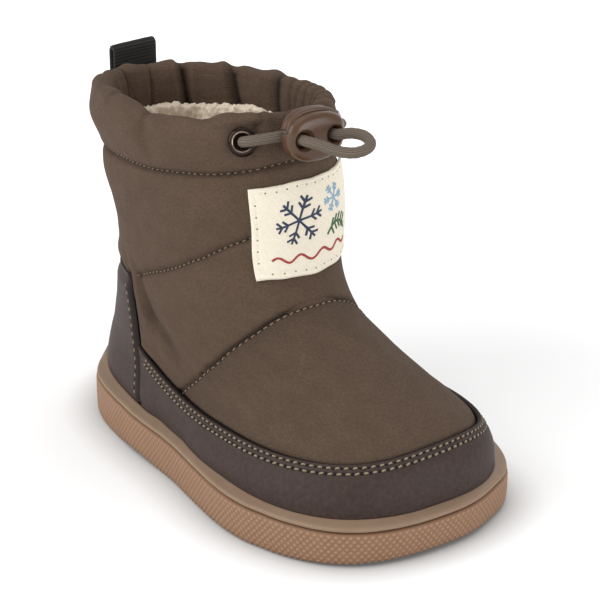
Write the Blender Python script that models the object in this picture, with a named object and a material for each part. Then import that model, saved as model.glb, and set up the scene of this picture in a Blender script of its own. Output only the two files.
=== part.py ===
"""Padded winter boot for the right foot, with a gathered collar and a drawcord.

Sizes are in millimetres and degrees, and point() turns them into metres. A place on the boot
is given by its station (forward from the back of the heel), its side (to the boot's own right)
and its height. The boot stands on z = 0 with its toe towards -Y and its outer side towards -X.
"""
import math

import bmesh
import bpy
from mathutils import Matrix, Vector

MM = 0.001

# Driving sizes of the boot
LENGTH = 165.0
BALL_WIDTH = 83.6
COLLAR_HEIGHT = 106.0
GAP = 0.3

# Sole: the groove divides outsole and midsole, and slopes from heel to toe
GROOVE_AT_HEEL = 12.9
GROOVE_AT_TOE = 9.6
FLOOR_ABOVE_GROOVE = 1.5
RIM_ABOVE_GROOVE = 2.9
RIM_WIDTH = 1.4
HEEL_FLAT = (9.0, 50.0)
FOREFOOT_FLAT = (82.0, 128.0)
ARCH_RISE = 1.3
TOE_SPRING = 2.2
HEEL_SPRING = 0.8
TREAD_DEPTH = 2.4
TREAD_MARGIN = 7.0
LUG_SIZE = 10.0
LUG_PITCH = 13.2
INSOLE_THICKNESS = 3.5

# Upper: padding and pile lining count in the wall
FOOT_WALL = 4.5
SHAFT_WALL = 5.5
RING_POINTS = 52

# Overlays on the upper
OVERLAY_INNER = 0.4
OVERLAY_OUTER = 1.6
MUDGUARD_HEIGHT = 24.2
MUDGUARD_TOE_RISE = 1.8
MUDGUARD_END_RISE = 5.0
COUNTER_TOP = 48.5
COUNTER_EDGE_AT_SOLE = 61.6
COUNTER_EDGE_LEAN = 0.59
COUNTER_SEAM = 1.0

# Pull loop of folded webbing at the back of the collar
LOOP_WIDTH = 15.5
LOOP_THICKNESS = 1.2
LOOP_DEPTH = 3.8
LOOP_BOTTOM = 93.0
LOOP_TOP = 112.0
LOOP_SIDE = -2.0

# Eyelets, drawcord and cord lock at the front of the collar
EYELET_HEIGHT = 98.8
EYELET_ANGLES = {"eyelet_right": 28.5, "eyelet_left": -36.0}
EYELET_RADIUS = 4.2
EYELET_HOLE_RADIUS = 2.4
EYELET_THICKNESS = 1.2
CORD_DIAMETER = 3.1
LOCK_STATION = 101.0
LOCK_SIDE = 1.0
LOCK_HEIGHT = 101.7
LOCK_DEPTH = 7.5
LOCK_HALF_WIDTH = 8.6
LOCK_DROP = 6.6
LOCK_SHOULDER = 6.9
LOCK_CROWN = 5.0
LOCK_HOLE_OFFSET = 4.5
LOCK_HOLE_HEIGHT = -0.8
LOCK_HOLE_RADIUS = 2.05
BUTTON_TRAVEL = 1.0
BUTTON_CROWN = 7.8
BUTTON_WALL = 1.2
BUTTON_SKIRT = 0.7
SKIRT_CROWN = 4.85
STEM_SIZE = (2.4, 3.5)
STEM_DEPTH = 4.0

# The cord's loop through the lock: forward from the lock's back face, right of its middle and
# above its holes
CORD_LOOP = ((0, 4.5, 0.2), (9.4, 4.5, 0.2), (12.2, 2.7, -0.9), (16.0, 0.6, -2.0), (19.6, -2.2, -2.3),
             (21.0, -5.4, -1.3), (19.4, -7.9, -0.3), (15.6, -8.6, 0.7), (12.0, -7.4, 0.8),
             (9.4, -4.6, 0.2), (0, -4.5, 0.2))

# Horizontal sections of the upper, in per cent: height of COLLAR_HEIGHT, front, back and
# widest station of LENGTH, right and left half width of BALL_WIDTH. The powers shape the
# rounding (2 is an ellipse) and waist narrows the arch.
COLUMNS = ("height", "front", "back", "widest", "right", "left", "toe", "heel", "waist")
SECTIONS = [dict(zip(COLUMNS, row)) for row in (
    (7.5, 97.0, 3.6, 72.1, 44.3, 44.3, 2.50, 2.27, 0.04),
    (15.1, 96.8, 3.8, 71.5, 44.0, 44.3, 2.50, 2.27, 0.04),
    (18.9, 96.5, 4.0, 70.9, 42.7, 42.8, 2.50, 2.27, 0.04),
    (22.6, 95.3, 4.4, 69.1, 40.7, 40.1, 2.45, 2.27, 0.03),
    (26.4, 92.6, 5.0, 66.1, 38.8, 36.4, 2.40, 2.25, 0.01),
    (30.2, 88.7, 5.6, 61.2, 37.1, 33.3, 2.30, 2.25, 0.00),
    (35.8, 80.9, 6.5, 51.5, 34.8, 30.9, 2.15, 2.20, 0.00),
    (41.5, 73.3, 7.3, 44.2, 32.8, 30.1, 2.05, 2.20, 0.00),
    (47.2, 67.3, 7.8, 39.1, 31.6, 31.0, 2.00, 2.18, 0.00),
    (52.8, 63.0, 8.0, 35.8, 31.1, 33.3, 2.05, 2.15, 0.00),
    (58.5, 61.2, 7.9, 34.5, 31.3, 35.2, 2.10, 2.15, 0.00),
    (66.0, 60.3, 7.3, 33.3, 32.8, 36.8, 2.15, 2.15, 0.00),
    (75.5, 59.7, 5.8, 32.1, 34.8, 37.4, 2.20, 2.15, 0.00),
    (83.0, 58.8, 4.8, 31.5, 35.4, 36.8, 2.20, 2.15, 0.00),
    (91.5, 59.4, 3.0, 30.9, 37.7, 38.0, 2.20, 2.15, 0.00),
    (97.2, 58.2, 3.6, 30.9, 36.5, 36.8, 2.20, 2.15, 0.00),
    (100.0, 56.7, 5.2, 30.9, 33.5, 34.1, 2.20, 2.15, 0.00),
)]

# The sole's own outline, in the same per cents
SOLE_SECTION = dict(front=100.0, back=0.0, widest=74.8, right=49.9, left=50.1,
                    toe=2.51, heel=2.27, waist=0.06)

# Heights of the rings on the upper's outside and inside. A ring at 0 follows the sole's floor.
OUTSIDE_HEIGHTS = (0, 17, 20, 23, 26, 29, 32, 36, 40, 44, 48, 52, 56, 61, 67, 74, 81, 86,
                   88.5, 91, 94, 97, 100, 103, 105, 106)
INSIDE_HEIGHTS = (82, 75, 68, 60, 54, 48, 42, 36, 30, 24, 18, 0)

# Inside of the collar: height, and distance inwards from the collar's widest section
COLLAR_INSIDE = ((105.2, 6.2), (102.0, 7.6), (97.0, 8.0), (90.0, 7.3))
COLLAR_WIDEST = 97.0

# Rows of tread lugs: station, and number of lugs across
LUG_ROWS = ((17.0, 3), (30.0, 3), (43.0, 3), (85.0, 4), (98.0, 5), (111.0, 5), (124.0, 5), (137.0, 4))

# Surfaces: colour as linear red, green, blue, then roughness and metallic value
SURFACES = {
    "gum rubber": ((0.38, 0.20, 0.11), 0.75, 0.0),
    "smooth rubber": ((0.27, 0.19, 0.12), 0.65, 0.0),
    "padded nylon": ((0.13, 0.09, 0.065), 0.80, 0.0),
    "synthetic leather": ((0.075, 0.058, 0.054), 0.60, 0.0),
    "footbed felt": ((0.60, 0.52, 0.40), 0.95, 0.0),
    "webbing": ((0.017, 0.013, 0.010), 0.90, 0.0),
    "gunmetal": ((0.20, 0.15, 0.13), 0.30, 1.0),
    "braided cord": ((0.15, 0.12, 0.085), 0.85, 0.0),
    "brown plastic": ((0.15, 0.085, 0.055), 0.40, 0.0),
}


def clear_scene():
    for thing in list(bpy.data.objects):
        bpy.data.objects.remove(thing, do_unlink=True)


def point(station, side, height):
    return Vector((-side * MM, (LENGTH / 2 - station) * MM, height * MM))


def material(surface):
    found = bpy.data.materials.get(surface)
    if found:
        return found
    colour, roughness, metallic = SURFACES[surface]
    made = bpy.data.materials.new(surface)
    made.use_nodes = True
    shader = made.node_tree.nodes["Principled BSDF"]
    shader.inputs["Base Color"].default_value = (*colour, 1.0)
    shader.inputs["Roughness"].default_value = roughness
    shader.inputs["Metallic"].default_value = metallic
    return made


def finish(name, mesh_builder, surface, parent, place=None):
    """Turns a bmesh into a named, smooth-shaded object with its faces pointing out."""
    bmesh.ops.recalc_face_normals(mesh_builder, faces=mesh_builder.faces)
    if mesh_builder.calc_volume(signed=True) < 0:
        bmesh.ops.reverse_faces(mesh_builder, faces=mesh_builder.faces)
    mesh = bpy.data.meshes.new(name)
    mesh_builder.to_mesh(mesh)
    mesh_builder.free()
    mesh.shade_smooth()
    mesh.set_sharp_from_angle(angle=math.radians(40))
    mesh.materials.append(material(surface))
    thing = bpy.data.objects.new(name, mesh)
    bpy.context.scene.collection.objects.link(thing)
    thing.parent = parent
    if place:
        thing.matrix_world = place
    return thing


def skin(rings, wrap=False):
    """Faces between closed rings of equal count, wrapped round or closed with strips across."""
    built = bmesh.new()
    loops = [[built.verts.new(p) for p in ring] for ring in rings]
    count = len(loops[0])
    pairs = list(zip(loops, loops[1:]))
    if wrap:
        pairs.append((loops[-1], loops[0]))
    for low, high in pairs:
        for i in range(count):
            j = (i + 1) % count
            built.faces.new((low[i], low[j], high[j], high[i]))
    if not wrap:
        for loop in (loops[0], loops[-1]):
            for i in range(count // 2):
                corners = [loop[i], loop[i + 1], loop[count - i - 1], loop[-i % count]]
                built.faces.new(list(dict.fromkeys(corners)))
    return built


def sheet_solid(outer, inner):
    """A closed sheet between two equal open grids of points."""
    built = bmesh.new()
    layers = [[[built.verts.new(p) for p in row] for row in grid] for grid in (outer, inner)]
    rows, columns = len(outer), len(outer[0])
    for layer in layers:
        for i in range(rows - 1):
            for j in range(columns - 1):
                built.faces.new((layer[i][j], layer[i][j + 1], layer[i + 1][j + 1], layer[i + 1][j]))
    edge = [(0, j) for j in range(columns)] + [(i, columns - 1) for i in range(1, rows)]
    edge += [(rows - 1, j) for j in range(columns - 2, -1, -1)] + [(i, 0) for i in range(rows - 2, 0, -1)]
    for (i, j), (k, m) in zip(edge, edge[1:] + edge[:1]):
        built.faces.new((layers[0][i][j], layers[0][k][m], layers[1][k][m], layers[1][i][j]))
    return built


def slopes(key):
    """Slopes of a monotone cubic through one column of the section table."""
    heights = [row["height"] for row in SECTIONS]
    values = [row[key] for row in SECTIONS]
    steps = [b - a for a, b in zip(heights, heights[1:])]
    rates = [(b - a) / step for a, b, step in zip(values, values[1:], steps)]
    inner = []
    for i in range(1, len(rates)):
        before, after = rates[i - 1], rates[i]
        if before * after <= 0:
            inner.append(0.0)
        else:
            w1, w2 = 2 * steps[i] + steps[i - 1], steps[i] + 2 * steps[i - 1]
            inner.append((w1 + w2) / (w1 / before + w2 / after))
    return [rates[0], *inner, rates[-1]]


SLOPES = {key: slopes(key) for key in COLUMNS[1:]}


def section_at(height):
    """The upper's section at a height, read smoothly from the table."""
    level = min(max(height / COLLAR_HEIGHT * 100, SECTIONS[0]["height"]), SECTIONS[-1]["height"])
    i = max(k for k in range(len(SECTIONS) - 1) if SECTIONS[k]["height"] <= level or k == 0)
    low, high = SECTIONS[i], SECTIONS[i + 1]
    step = high["height"] - low["height"]
    u = (level - low["height"]) / step
    read = {}
    for key in COLUMNS[1:]:
        rise = u * (1 - u) ** 2 * SLOPES[key][i] + u * u * (u - 1) * SLOPES[key][i + 1]
        read[key] = (1 + 2 * u) * (1 - u) ** 2 * low[key] + u * u * (3 - 2 * u) * high[key] + step * rise
    return read


def outline(angle, section, inset=0.0):
    """Station and side on a section's outline. Angle 0 is the toe and 90 the boot's right."""
    c, s = math.cos(math.radians(angle)), math.sin(math.radians(angle))
    power = 2 / (section["toe"] if c > 0 else section["heel"])
    widest = section["widest"] * LENGTH / 100
    end = section["front"] * LENGTH / 100 - inset if c > 0 else section["back"] * LENGTH / 100 + inset
    station = widest + abs(end - widest) * math.copysign(abs(c) ** power, c)
    half = section["right" if s > 0 else "left"] * BALL_WIDTH / 100 - inset
    arch = math.exp(-((station / LENGTH - 0.36) / 0.14) ** 2)
    side = half * math.copysign(abs(s) ** power, s) * (1 - section["waist"] * arch)
    return station, side


def upper_place(angle, height):
    return Vector((*outline(angle, section_at(height)), height))


def on_upper(angle, height, out=0.0):
    """Station, side and height at a distance outside the upper's surface."""
    low, high = max(height - 0.4, 0.0), min(height + 0.4, COLLAR_HEIGHT)
    along = upper_place(angle - 0.8, height) - upper_place(angle + 0.8, height)
    up = upper_place(angle, high) - upper_place(angle, low)
    return upper_place(angle, height) + up.cross(along).normalized() * out


def ring_angles():
    return [360.0 * i / RING_POINTS for i in range(RING_POINTS)]


def groove_height(station):
    return GROOVE_AT_HEEL + (GROOVE_AT_TOE - GROOVE_AT_HEEL) * station / LENGTH


def floor_height(station):
    return groove_height(station) + FLOOR_ABOVE_GROOVE


def rim_height(station):
    return groove_height(station) + RIM_ABOVE_GROOVE


def ease(x):
    x = min(max(x, 0.0), 1.0)
    return x * x * (3 - 2 * x)


def ground_clearance(station):
    """Height of the tread: flat under heel and forefoot, raised at the arch, toe and heel edge."""
    middle = (HEEL_FLAT[1] + FOREFOOT_FLAT[0]) / 2
    half = (FOREFOOT_FLAT[0] - HEEL_FLAT[1]) / 2
    arch = ARCH_RISE * ease(1 - abs(station - middle) / half)
    toe = TOE_SPRING * max(0.0, (station - FOREFOOT_FLAT[1]) / (LENGTH - FOREFOOT_FLAT[1])) ** 2
    heel = HEEL_SPRING * max(0.0, (HEEL_FLAT[0] - station) / HEEL_FLAT[0]) ** 2
    return arch + toe + heel


def sole_ring(inset, height_at):
    ring = []
    for angle in ring_angles():
        station, side = outline(angle, SOLE_SECTION, inset)
        ring.append(point(station, side, height_at(station)))
    return ring


def upper_ring(height_at, out):
    """A ring outside the upper, or inside it, at a height that follows the station."""
    ring = []
    for angle in ring_angles():
        near = on_upper(angle, COLLAR_HEIGHT * 0.14, out)
        place = on_upper(angle, height_at(near.x), out)
        ring.append(point(place.x, place.y, height_at(place.x)))
    return ring


def lug_centres():
    """Station and side of every lug, the rows spread across the tread."""
    for station, across in LUG_ROWS:
        middle = tread_middle(station)
        for k in range(across):
            yield station, middle + (k - (across - 1) / 2) * LUG_PITCH


def tread_middle(station):
    edges = [outline(a, SOLE_SECTION) for a in range(0, 360)]
    right = min((p for p in edges if p[1] > 0), key=lambda p: abs(p[0] - station))
    left = min((p for p in edges if p[1] < 0), key=lambda p: abs(p[0] - station))
    return (right[1] + left[1]) / 2


def cut(target, tool, operation):
    """A Boolean that stays on the target, with its tool hidden."""
    step = target.modifiers.new(tool.name, "BOOLEAN")
    step.operation = operation
    step.solver = "EXACT"
    step.object = tool
    tool.hide_render = True
    tool.display_type = "WIRE"


def make_outsole(parent):
    rings = [
        sole_ring(1.8, ground_clearance),
        sole_ring(0.6, lambda s: ground_clearance(s) + 0.9),
        sole_ring(0.0, lambda s: ground_clearance(s) + 2.8),
        sole_ring(0.0, lambda s: groove_height(s) - 1.3),
        sole_ring(0.8, lambda s: groove_height(s) - GAP / 2),
    ]
    sole = finish("outsole", skin(rings), "gum rubber", parent)
    recess = skin([
        sole_ring(TREAD_MARGIN, lambda s: -2.0),
        sole_ring(TREAD_MARGIN, lambda s: ground_clearance(s) + TREAD_DEPTH),
    ])
    cut(sole, finish("tread_recess", recess, "gum rubber", parent), "DIFFERENCE")
    lugs = bmesh.new()
    for station, side in lug_centres():
        corners = []
        for k in range(6):
            turn = math.radians(60 * k + 30)
            corners.append((station + math.sin(turn) * LUG_SIZE / 2, side + math.cos(turn) * LUG_SIZE / 2))
        low = [lugs.verts.new(point(a, b, ground_clearance(a))) for a, b in corners]
        high = [lugs.verts.new(point(a, b, ground_clearance(a) + TREAD_DEPTH + 0.5)) for a, b in corners]
        lugs.faces.new(low)
        lugs.faces.new(high)
        for k in range(6):
            j = (k + 1) % 6
            lugs.faces.new((low[k], low[j], high[j], high[k]))
    cut(sole, finish("tread_lugs", lugs, "gum rubber", parent), "UNION")


def make_midsole(parent):
    rings = [
        sole_ring(0.8, lambda s: groove_height(s) + GAP / 2),
        sole_ring(0.2, lambda s: groove_height(s) + 0.8),
        sole_ring(0.7, lambda s: groove_height(s) + 1.7),
        upper_ring(rim_height, GAP + RIM_WIDTH),
        upper_ring(rim_height, GAP),
        upper_ring(floor_height, GAP),
    ]
    finish("midsole", skin(rings), "smooth rubber", parent)


def make_insole(parent):
    bottom = FOOT_WALL + 0.4
    rings = [
        upper_ring(lambda s: floor_height(s) + GAP, -bottom),
        upper_ring(lambda s: floor_height(s) + GAP + INSOLE_THICKNESS * 0.7, -bottom),
        upper_ring(lambda s: floor_height(s) + GAP + INSOLE_THICKNESS, -bottom - 1.2),
    ]
    finish("insole", skin(rings), "footbed felt", parent)


def wall_at(height):
    return FOOT_WALL + (SHAFT_WALL - FOOT_WALL) * ease((height - 35.0) / 30.0)


def upper_row(height, out):
    if height == 0:
        return upper_ring(lambda s: floor_height(s) + GAP, out)
    return [point(*on_upper(angle, height, out)) for angle in ring_angles()]


def make_upper(parent):
    rings = [upper_row(height, 0.0) for height in OUTSIDE_HEIGHTS]
    widest = section_at(COLLAR_WIDEST)
    for height, inwards in COLLAR_INSIDE:
        rings.append([point(*outline(angle, widest, inwards), height) for angle in ring_angles()])
    rings += [upper_row(height, -wall_at(height)) for height in INSIDE_HEIGHTS]
    finish("upper", skin(rings, wrap=True), "padded nylon", parent)


def counter_edge(height):
    """Station of the heel counter's front edge, which leans back as it rises."""
    return COUNTER_EDGE_AT_SOLE - COUNTER_EDGE_LEAN * (height - GROOVE_AT_HEEL)


def angle_at(height, station, sign):
    """Angle where the upper's section at a height passes a station, on one side."""
    low, high = 40.0, 179.0
    for _ in range(30):
        middle = (low + high) / 2
        if upper_place(sign * middle, height).x > station:
            low = middle
        else:
            high = middle
    return sign * low


def mudguard_top(angle):
    toe = MUDGUARD_TOE_RISE * math.exp(-((angle + 10) / 34) ** 2)
    end = MUDGUARD_END_RISE * max(0.0, (abs(angle) - 94) / 24) ** 1.6
    return MUDGUARD_HEIGHT + toe + end


def overlay(bounds, columns, rows):
    """Grids at the two faces of an overlay, from a function of two fractions."""
    grids = []
    for out in (OVERLAY_OUTER, OVERLAY_INNER):
        grid = []
        for j in range(columns + 1):
            places = [bounds(j / columns, i / rows) for i in range(rows + 1)]
            grid.append([point(*on_upper(angle, height, out)) for angle, height in places])
        grids.append(grid)
    return grids


def overlay_foot(angle):
    return rim_height(upper_place(angle, COLLAR_HEIGHT * 0.14).x) + GAP


def mudguard_place(across, up):
    end = angle_at(MUDGUARD_HEIGHT, counter_edge(MUDGUARD_HEIGHT) + COUNTER_SEAM, 1.0)
    near = end * (1 - 2 * across)
    height = overlay_foot(near) + (mudguard_top(near) - overlay_foot(near)) * up
    edge = counter_edge(height) + COUNTER_SEAM
    right, left = angle_at(height, edge, 1.0), angle_at(height, edge, -1.0)
    return right + (left - right) * across, height


def counter_place(across, up):
    near = 125.0 + 110.0 * across
    height = overlay_foot(near) + (COUNTER_TOP - overlay_foot(near)) * up
    edge = counter_edge(height)
    right, left = angle_at(height, edge, 1.0), angle_at(height, edge, -1.0) + 360.0
    return right + (left - right) * across, height


def make_overlays(parent):
    finish("mudguard", sheet_solid(*overlay(mudguard_place, 48, 3)), "synthetic leather", parent)
    finish("heel_counter", sheet_solid(*overlay(counter_place, 24, 6)), "synthetic leather", parent)


def make_pull_loop(parent):
    """Webbing folded into a flat loop: a ring in side view, as wide as the webbing."""
    back = upper_place(180.0, COLLAR_WIDEST).x - GAP
    half = LOOP_DEPTH / 2
    middle = back - half

    def stadium(inset):
        radius = half - inset
        low, high = LOOP_BOTTOM + inset + radius, LOOP_TOP - inset - radius
        turn = [math.radians(180 * k / 6) for k in range(7)]
        over = [(middle + radius * math.cos(a), high + radius * math.sin(a)) for a in turn]
        under = [(middle - radius * math.cos(a), low - radius * math.sin(a)) for a in turn]
        return over + under

    def face(inset, side):
        return [point(station, side, height) for station, height in stadium(inset)]

    right, left = LOOP_SIDE + LOOP_WIDTH / 2, LOOP_SIDE - LOOP_WIDTH / 2
    rings = [face(0, right), face(0, left), face(LOOP_THICKNESS, left), face(LOOP_THICKNESS, right)]
    finish("pull_loop", skin(rings, wrap=True), "webbing", parent)


def eyelet_seat(angle):
    """Centre and outward direction of an eyelet's seat, in world axes."""
    seat = point(*on_upper(angle, EYELET_HEIGHT, GAP))
    above = point(*on_upper(angle, EYELET_HEIGHT, GAP + 1))
    return seat, (above - seat).normalized()


def make_eyelets(parent):
    middle = (EYELET_RADIUS + EYELET_HOLE_RADIUS) / 2
    half = (EYELET_RADIUS - EYELET_HOLE_RADIUS) / 2
    profile = [(EYELET_RADIUS, 0.0), (EYELET_RADIUS, 0.3)]
    for k in range(1, 6):
        turn = math.radians(180 * k / 6)
        profile.append((middle + half * math.cos(turn), 0.3 + (EYELET_THICKNESS - 0.3) * math.sin(turn)))
    profile += [(EYELET_HOLE_RADIUS, 0.3), (EYELET_HOLE_RADIUS, 0.0)]
    turns = [math.tau * k / 20 for k in range(20)]
    for name, angle in EYELET_ANGLES.items():
        rings = [[Vector((r * math.cos(a), r * math.sin(a), h)) * MM for a in turns] for r, h in profile]
        seat, out = eyelet_seat(angle)
        place = Matrix.Translation(seat) @ out.to_track_quat("Z", "Y").to_matrix().to_4x4()
        finish(name, skin(rings, wrap=True), "gunmetal", parent, place)


def lock_place(forward, right, up):
    """A place on the cord lock: forward from its back face, sideways and up from its middle."""
    return point(LOCK_STATION + forward, LOCK_SIDE + right, LOCK_HEIGHT + up)


def lock_disc(ring_at, depths):
    """A solid through rings in the lock's face, each at a depth with an inset for rounded edges."""
    rings = []
    for depth, inset in depths:
        rings.append([lock_place(depth, right, up) for right, up in ring_at(inset)])
    return skin(rings)


def lock_ring(inset):
    """The body's outline: a rounded drop below, and a narrower crown that the button covers."""
    turns = [math.pi * k / 18 for k in range(19)]
    crown = [(LOCK_SHOULDER * math.cos(a), LOCK_CROWN * math.sin(a)) for a in turns]
    drop = [((inset - LOCK_HALF_WIDTH) * math.cos(a), (inset - LOCK_DROP) * math.sin(a)) for a in turns]
    return crown + drop


def cord_hole(name, middle, parent):
    turns = [math.tau * k / 16 for k in range(16)]
    ring = [(middle + LOCK_HOLE_RADIUS * math.cos(a), LOCK_HOLE_HEIGHT + LOCK_HOLE_RADIUS * math.sin(a))
            for a in turns]
    built = lock_disc(lambda inset: ring, ((-2.0, 0), (LOCK_DEPTH + 2.0, 0)))
    return finish(name, built, "brown plastic", parent)


def block(low, high):
    """A box between two corners given as forward, right, up in the lock's frame."""
    built = bmesh.new()
    corners = [[(low, high)[k >> axis & 1][axis] for axis in range(3)] for k in range(8)]
    verts = [built.verts.new(lock_place(*corner)) for corner in corners]
    for face in ((0, 1, 3, 2), (4, 5, 7, 6), (0, 1, 5, 4), (2, 3, 7, 6), (0, 2, 6, 4), (1, 3, 7, 5)):
        built.faces.new([verts[k] for k in face])
    return built


def make_lock_body(parent):
    depths = ((0, 1.4), (0.4, 0.5), (1.4, 0), (LOCK_DEPTH - 1.4, 0), (LOCK_DEPTH - 0.4, 0.5), (LOCK_DEPTH, 1.4))
    body = finish("cord_lock_body", lock_disc(lock_ring, depths), "brown plastic", parent)
    for name, right in (("cord_hole_right", LOCK_HOLE_OFFSET), ("cord_hole_left", -LOCK_HOLE_OFFSET)):
        cut(body, cord_hole(name, right, parent), "DIFFERENCE")
    wide, deep = (size / 2 + GAP for size in STEM_SIZE)
    floor = BUTTON_CROWN - BUTTON_WALL - STEM_DEPTH - BUTTON_TRAVEL - GAP
    pocket = block((LOCK_DEPTH / 2 - deep, -wide, floor), (LOCK_DEPTH / 2 + deep, wide, LOCK_CROWN + 2))
    cut(body, finish("stem_pocket", pocket, "brown plastic", parent), "DIFFERENCE")


def make_lock_button(parent):
    """An arched cap with a skirt before the body's face, and a stem in the body's pocket."""
    foot = BUTTON_TRAVEL + GAP

    def arch(half_width, crown):
        start = math.asin(foot / crown)
        turns = [start + (math.pi - 2 * start) * k / 16 for k in range(17)]
        return [(half_width * math.cos(turn), crown * math.sin(turn)) for turn in turns]

    def row(places, forward):
        return [lock_place(forward, right, up) for right, up in places]

    outer = arch(LOCK_HALF_WIDTH, BUTTON_CROWN)
    edge = arch(LOCK_HALF_WIDTH - 0.5, BUTTON_CROWN - 0.5)
    inner = arch(LOCK_HALF_WIDTH - BUTTON_WALL, BUTTON_CROWN - BUTTON_WALL)
    drop = arch(LOCK_HALF_WIDTH - BUTTON_WALL, SKIRT_CROWN)
    front = LOCK_DEPTH + GAP + BUTTON_SKIRT
    section = [row(outer, 0.5), row(edge, 0.0), row(inner, 0.0), row(inner, front - BUTTON_SKIRT),
               row(drop, front - BUTTON_SKIRT), row(drop, front), row(edge, front), row(outer, front - 0.6)]
    built = bmesh.new()
    strips = [[built.verts.new(p) for p in line] for line in section]
    for near, far in zip(strips, strips[1:] + strips[:1]):
        for k in range(16):
            built.faces.new((near[k], near[k + 1], far[k + 1], far[k]))
    for k in (0, 16):
        built.faces.new([line[k] for line in strips])
    axis = lock_place(LOCK_DEPTH / 2, 0, 0)
    for vert in built.verts:
        vert.co -= axis
    button = finish("cord_lock_button", built, "brown plastic", parent, Matrix.Translation(axis))
    wide, deep = (size / 2 for size in STEM_SIZE)
    top = BUTTON_CROWN - BUTTON_WALL
    stem = block((LOCK_DEPTH / 2 - deep, -wide, top - STEM_DEPTH), (LOCK_DEPTH / 2 + deep, wide, top + 0.6))
    cut(button, finish("button_stem", stem, "brown plastic", parent), "UNION")


def smooth_route(stops, step):
    """Points read along a smooth curve through the stops, about a step apart."""
    ends = [2 * stops[0] - stops[1], *stops, 2 * stops[-1] - stops[-2]]
    route = []
    for a, b, c, d in zip(ends, ends[1:], ends[2:], ends[3:]):
        count = max(1, round((c - b).length / step))
        for k in range(count):
            u = k / count
            route.append(0.5 * (2 * b + (c - a) * u + (2 * a - 5 * b + 4 * c - d) * u * u
                                + (3 * b - a - 3 * c + d) * u ** 3))
    return route + [stops[-1]]


def make_cord(name, stops, parent):
    curve = bpy.data.curves.new(name, "CURVE")
    curve.dimensions = "3D"
    curve.bevel_depth = CORD_DIAMETER / 2 * MM
    curve.bevel_resolution = 2
    curve.use_fill_caps = True
    route = smooth_route(stops, 2.2 * CORD_DIAMETER * MM)
    line = curve.splines.new("POLY")
    line.points.add(len(route) - 1)
    for spot, place in zip(line.points, route):
        spot.co = (*place, 1.0)
    curve.materials.append(material("braided cord"))
    cord = bpy.data.objects.new(name, curve)
    bpy.context.scene.collection.objects.link(cord)
    cord.parent = parent


def make_drawcord(parent):
    """Bars from the eyelets to behind the lock, and the loop through the lock's two holes."""
    behind = -(CORD_DIAMETER / 2 + 0.45)
    above = (EYELET_THICKNESS + GAP + CORD_DIAMETER / 2 + 0.2) * MM
    for side, name in ((1, "drawcord_bar_right"), (-1, "drawcord_bar_left")):
        seat, out = eyelet_seat(EYELET_ANGLES["eyelet_right" if side > 0 else "eyelet_left"])
        lock_end = lock_place(behind, side * (LOCK_HOLE_OFFSET - 0.6), LOCK_HOLE_HEIGHT)
        reach = lock_place(behind + 0.2, side * (LOCK_HOLE_OFFSET + 3.5), LOCK_HOLE_HEIGHT)
        along = lock_end - seat
        along = (along - along.dot(out) * out).normalized()
        over = seat + above * out + (EYELET_RADIUS + 0.8) * MM * along
        make_cord(name, [seat + above * out, over, reach, lock_end], parent)
    loop = [lock_place(forward, right, LOCK_HOLE_HEIGHT + up) for forward, right, up in CORD_LOOP]
    make_cord("drawcord_loop", loop, parent)


def main():
    clear_scene()
    boot = bpy.data.objects.new("boot", None)
    bpy.context.scene.collection.objects.link(boot)
    make_outsole(boot)
    make_midsole(boot)
    make_insole(boot)
    make_upper(boot)
    make_overlays(boot)
    make_pull_loop(boot)
    make_eyelets(boot)
    make_lock_body(boot)
    make_lock_button(boot)
    make_drawcord(boot)


main()
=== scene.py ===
import bpy
import numpy as np
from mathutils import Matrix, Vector


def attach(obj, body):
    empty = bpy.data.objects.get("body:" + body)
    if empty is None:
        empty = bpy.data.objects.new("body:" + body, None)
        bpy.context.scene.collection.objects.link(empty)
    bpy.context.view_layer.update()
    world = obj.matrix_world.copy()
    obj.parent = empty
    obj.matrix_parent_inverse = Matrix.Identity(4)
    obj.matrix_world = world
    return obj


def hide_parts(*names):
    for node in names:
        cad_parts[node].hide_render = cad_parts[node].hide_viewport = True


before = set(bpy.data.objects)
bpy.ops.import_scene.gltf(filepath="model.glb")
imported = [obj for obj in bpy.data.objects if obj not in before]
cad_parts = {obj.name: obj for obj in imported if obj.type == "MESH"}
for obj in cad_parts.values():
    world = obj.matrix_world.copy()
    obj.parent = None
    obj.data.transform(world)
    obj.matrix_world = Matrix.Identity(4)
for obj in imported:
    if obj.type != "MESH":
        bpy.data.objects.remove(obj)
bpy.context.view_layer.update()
print("frame loaded")

mm = 0.001
rng = np.random.default_rng(11)

# The boot's driving sizes in millimetres; the groove runs between foxing and outsole.
boot = {"length": 165.0, "ballWidth": 83.6, "collar": 106.0, "grooveHeel": 12.9, "grooveToe": 9.6,
        "floorAbove": 1.5}


def ease(x):
    x = np.clip(x, 0.0, 1.0)
    return x * x * (3.0 - 2.0 * x)


def bell(x):
    return np.exp(-np.square(x))


def unit(v):
    return v / np.maximum(np.linalg.norm(v, axis=-1, keepdims=True), 1e-9)


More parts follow.
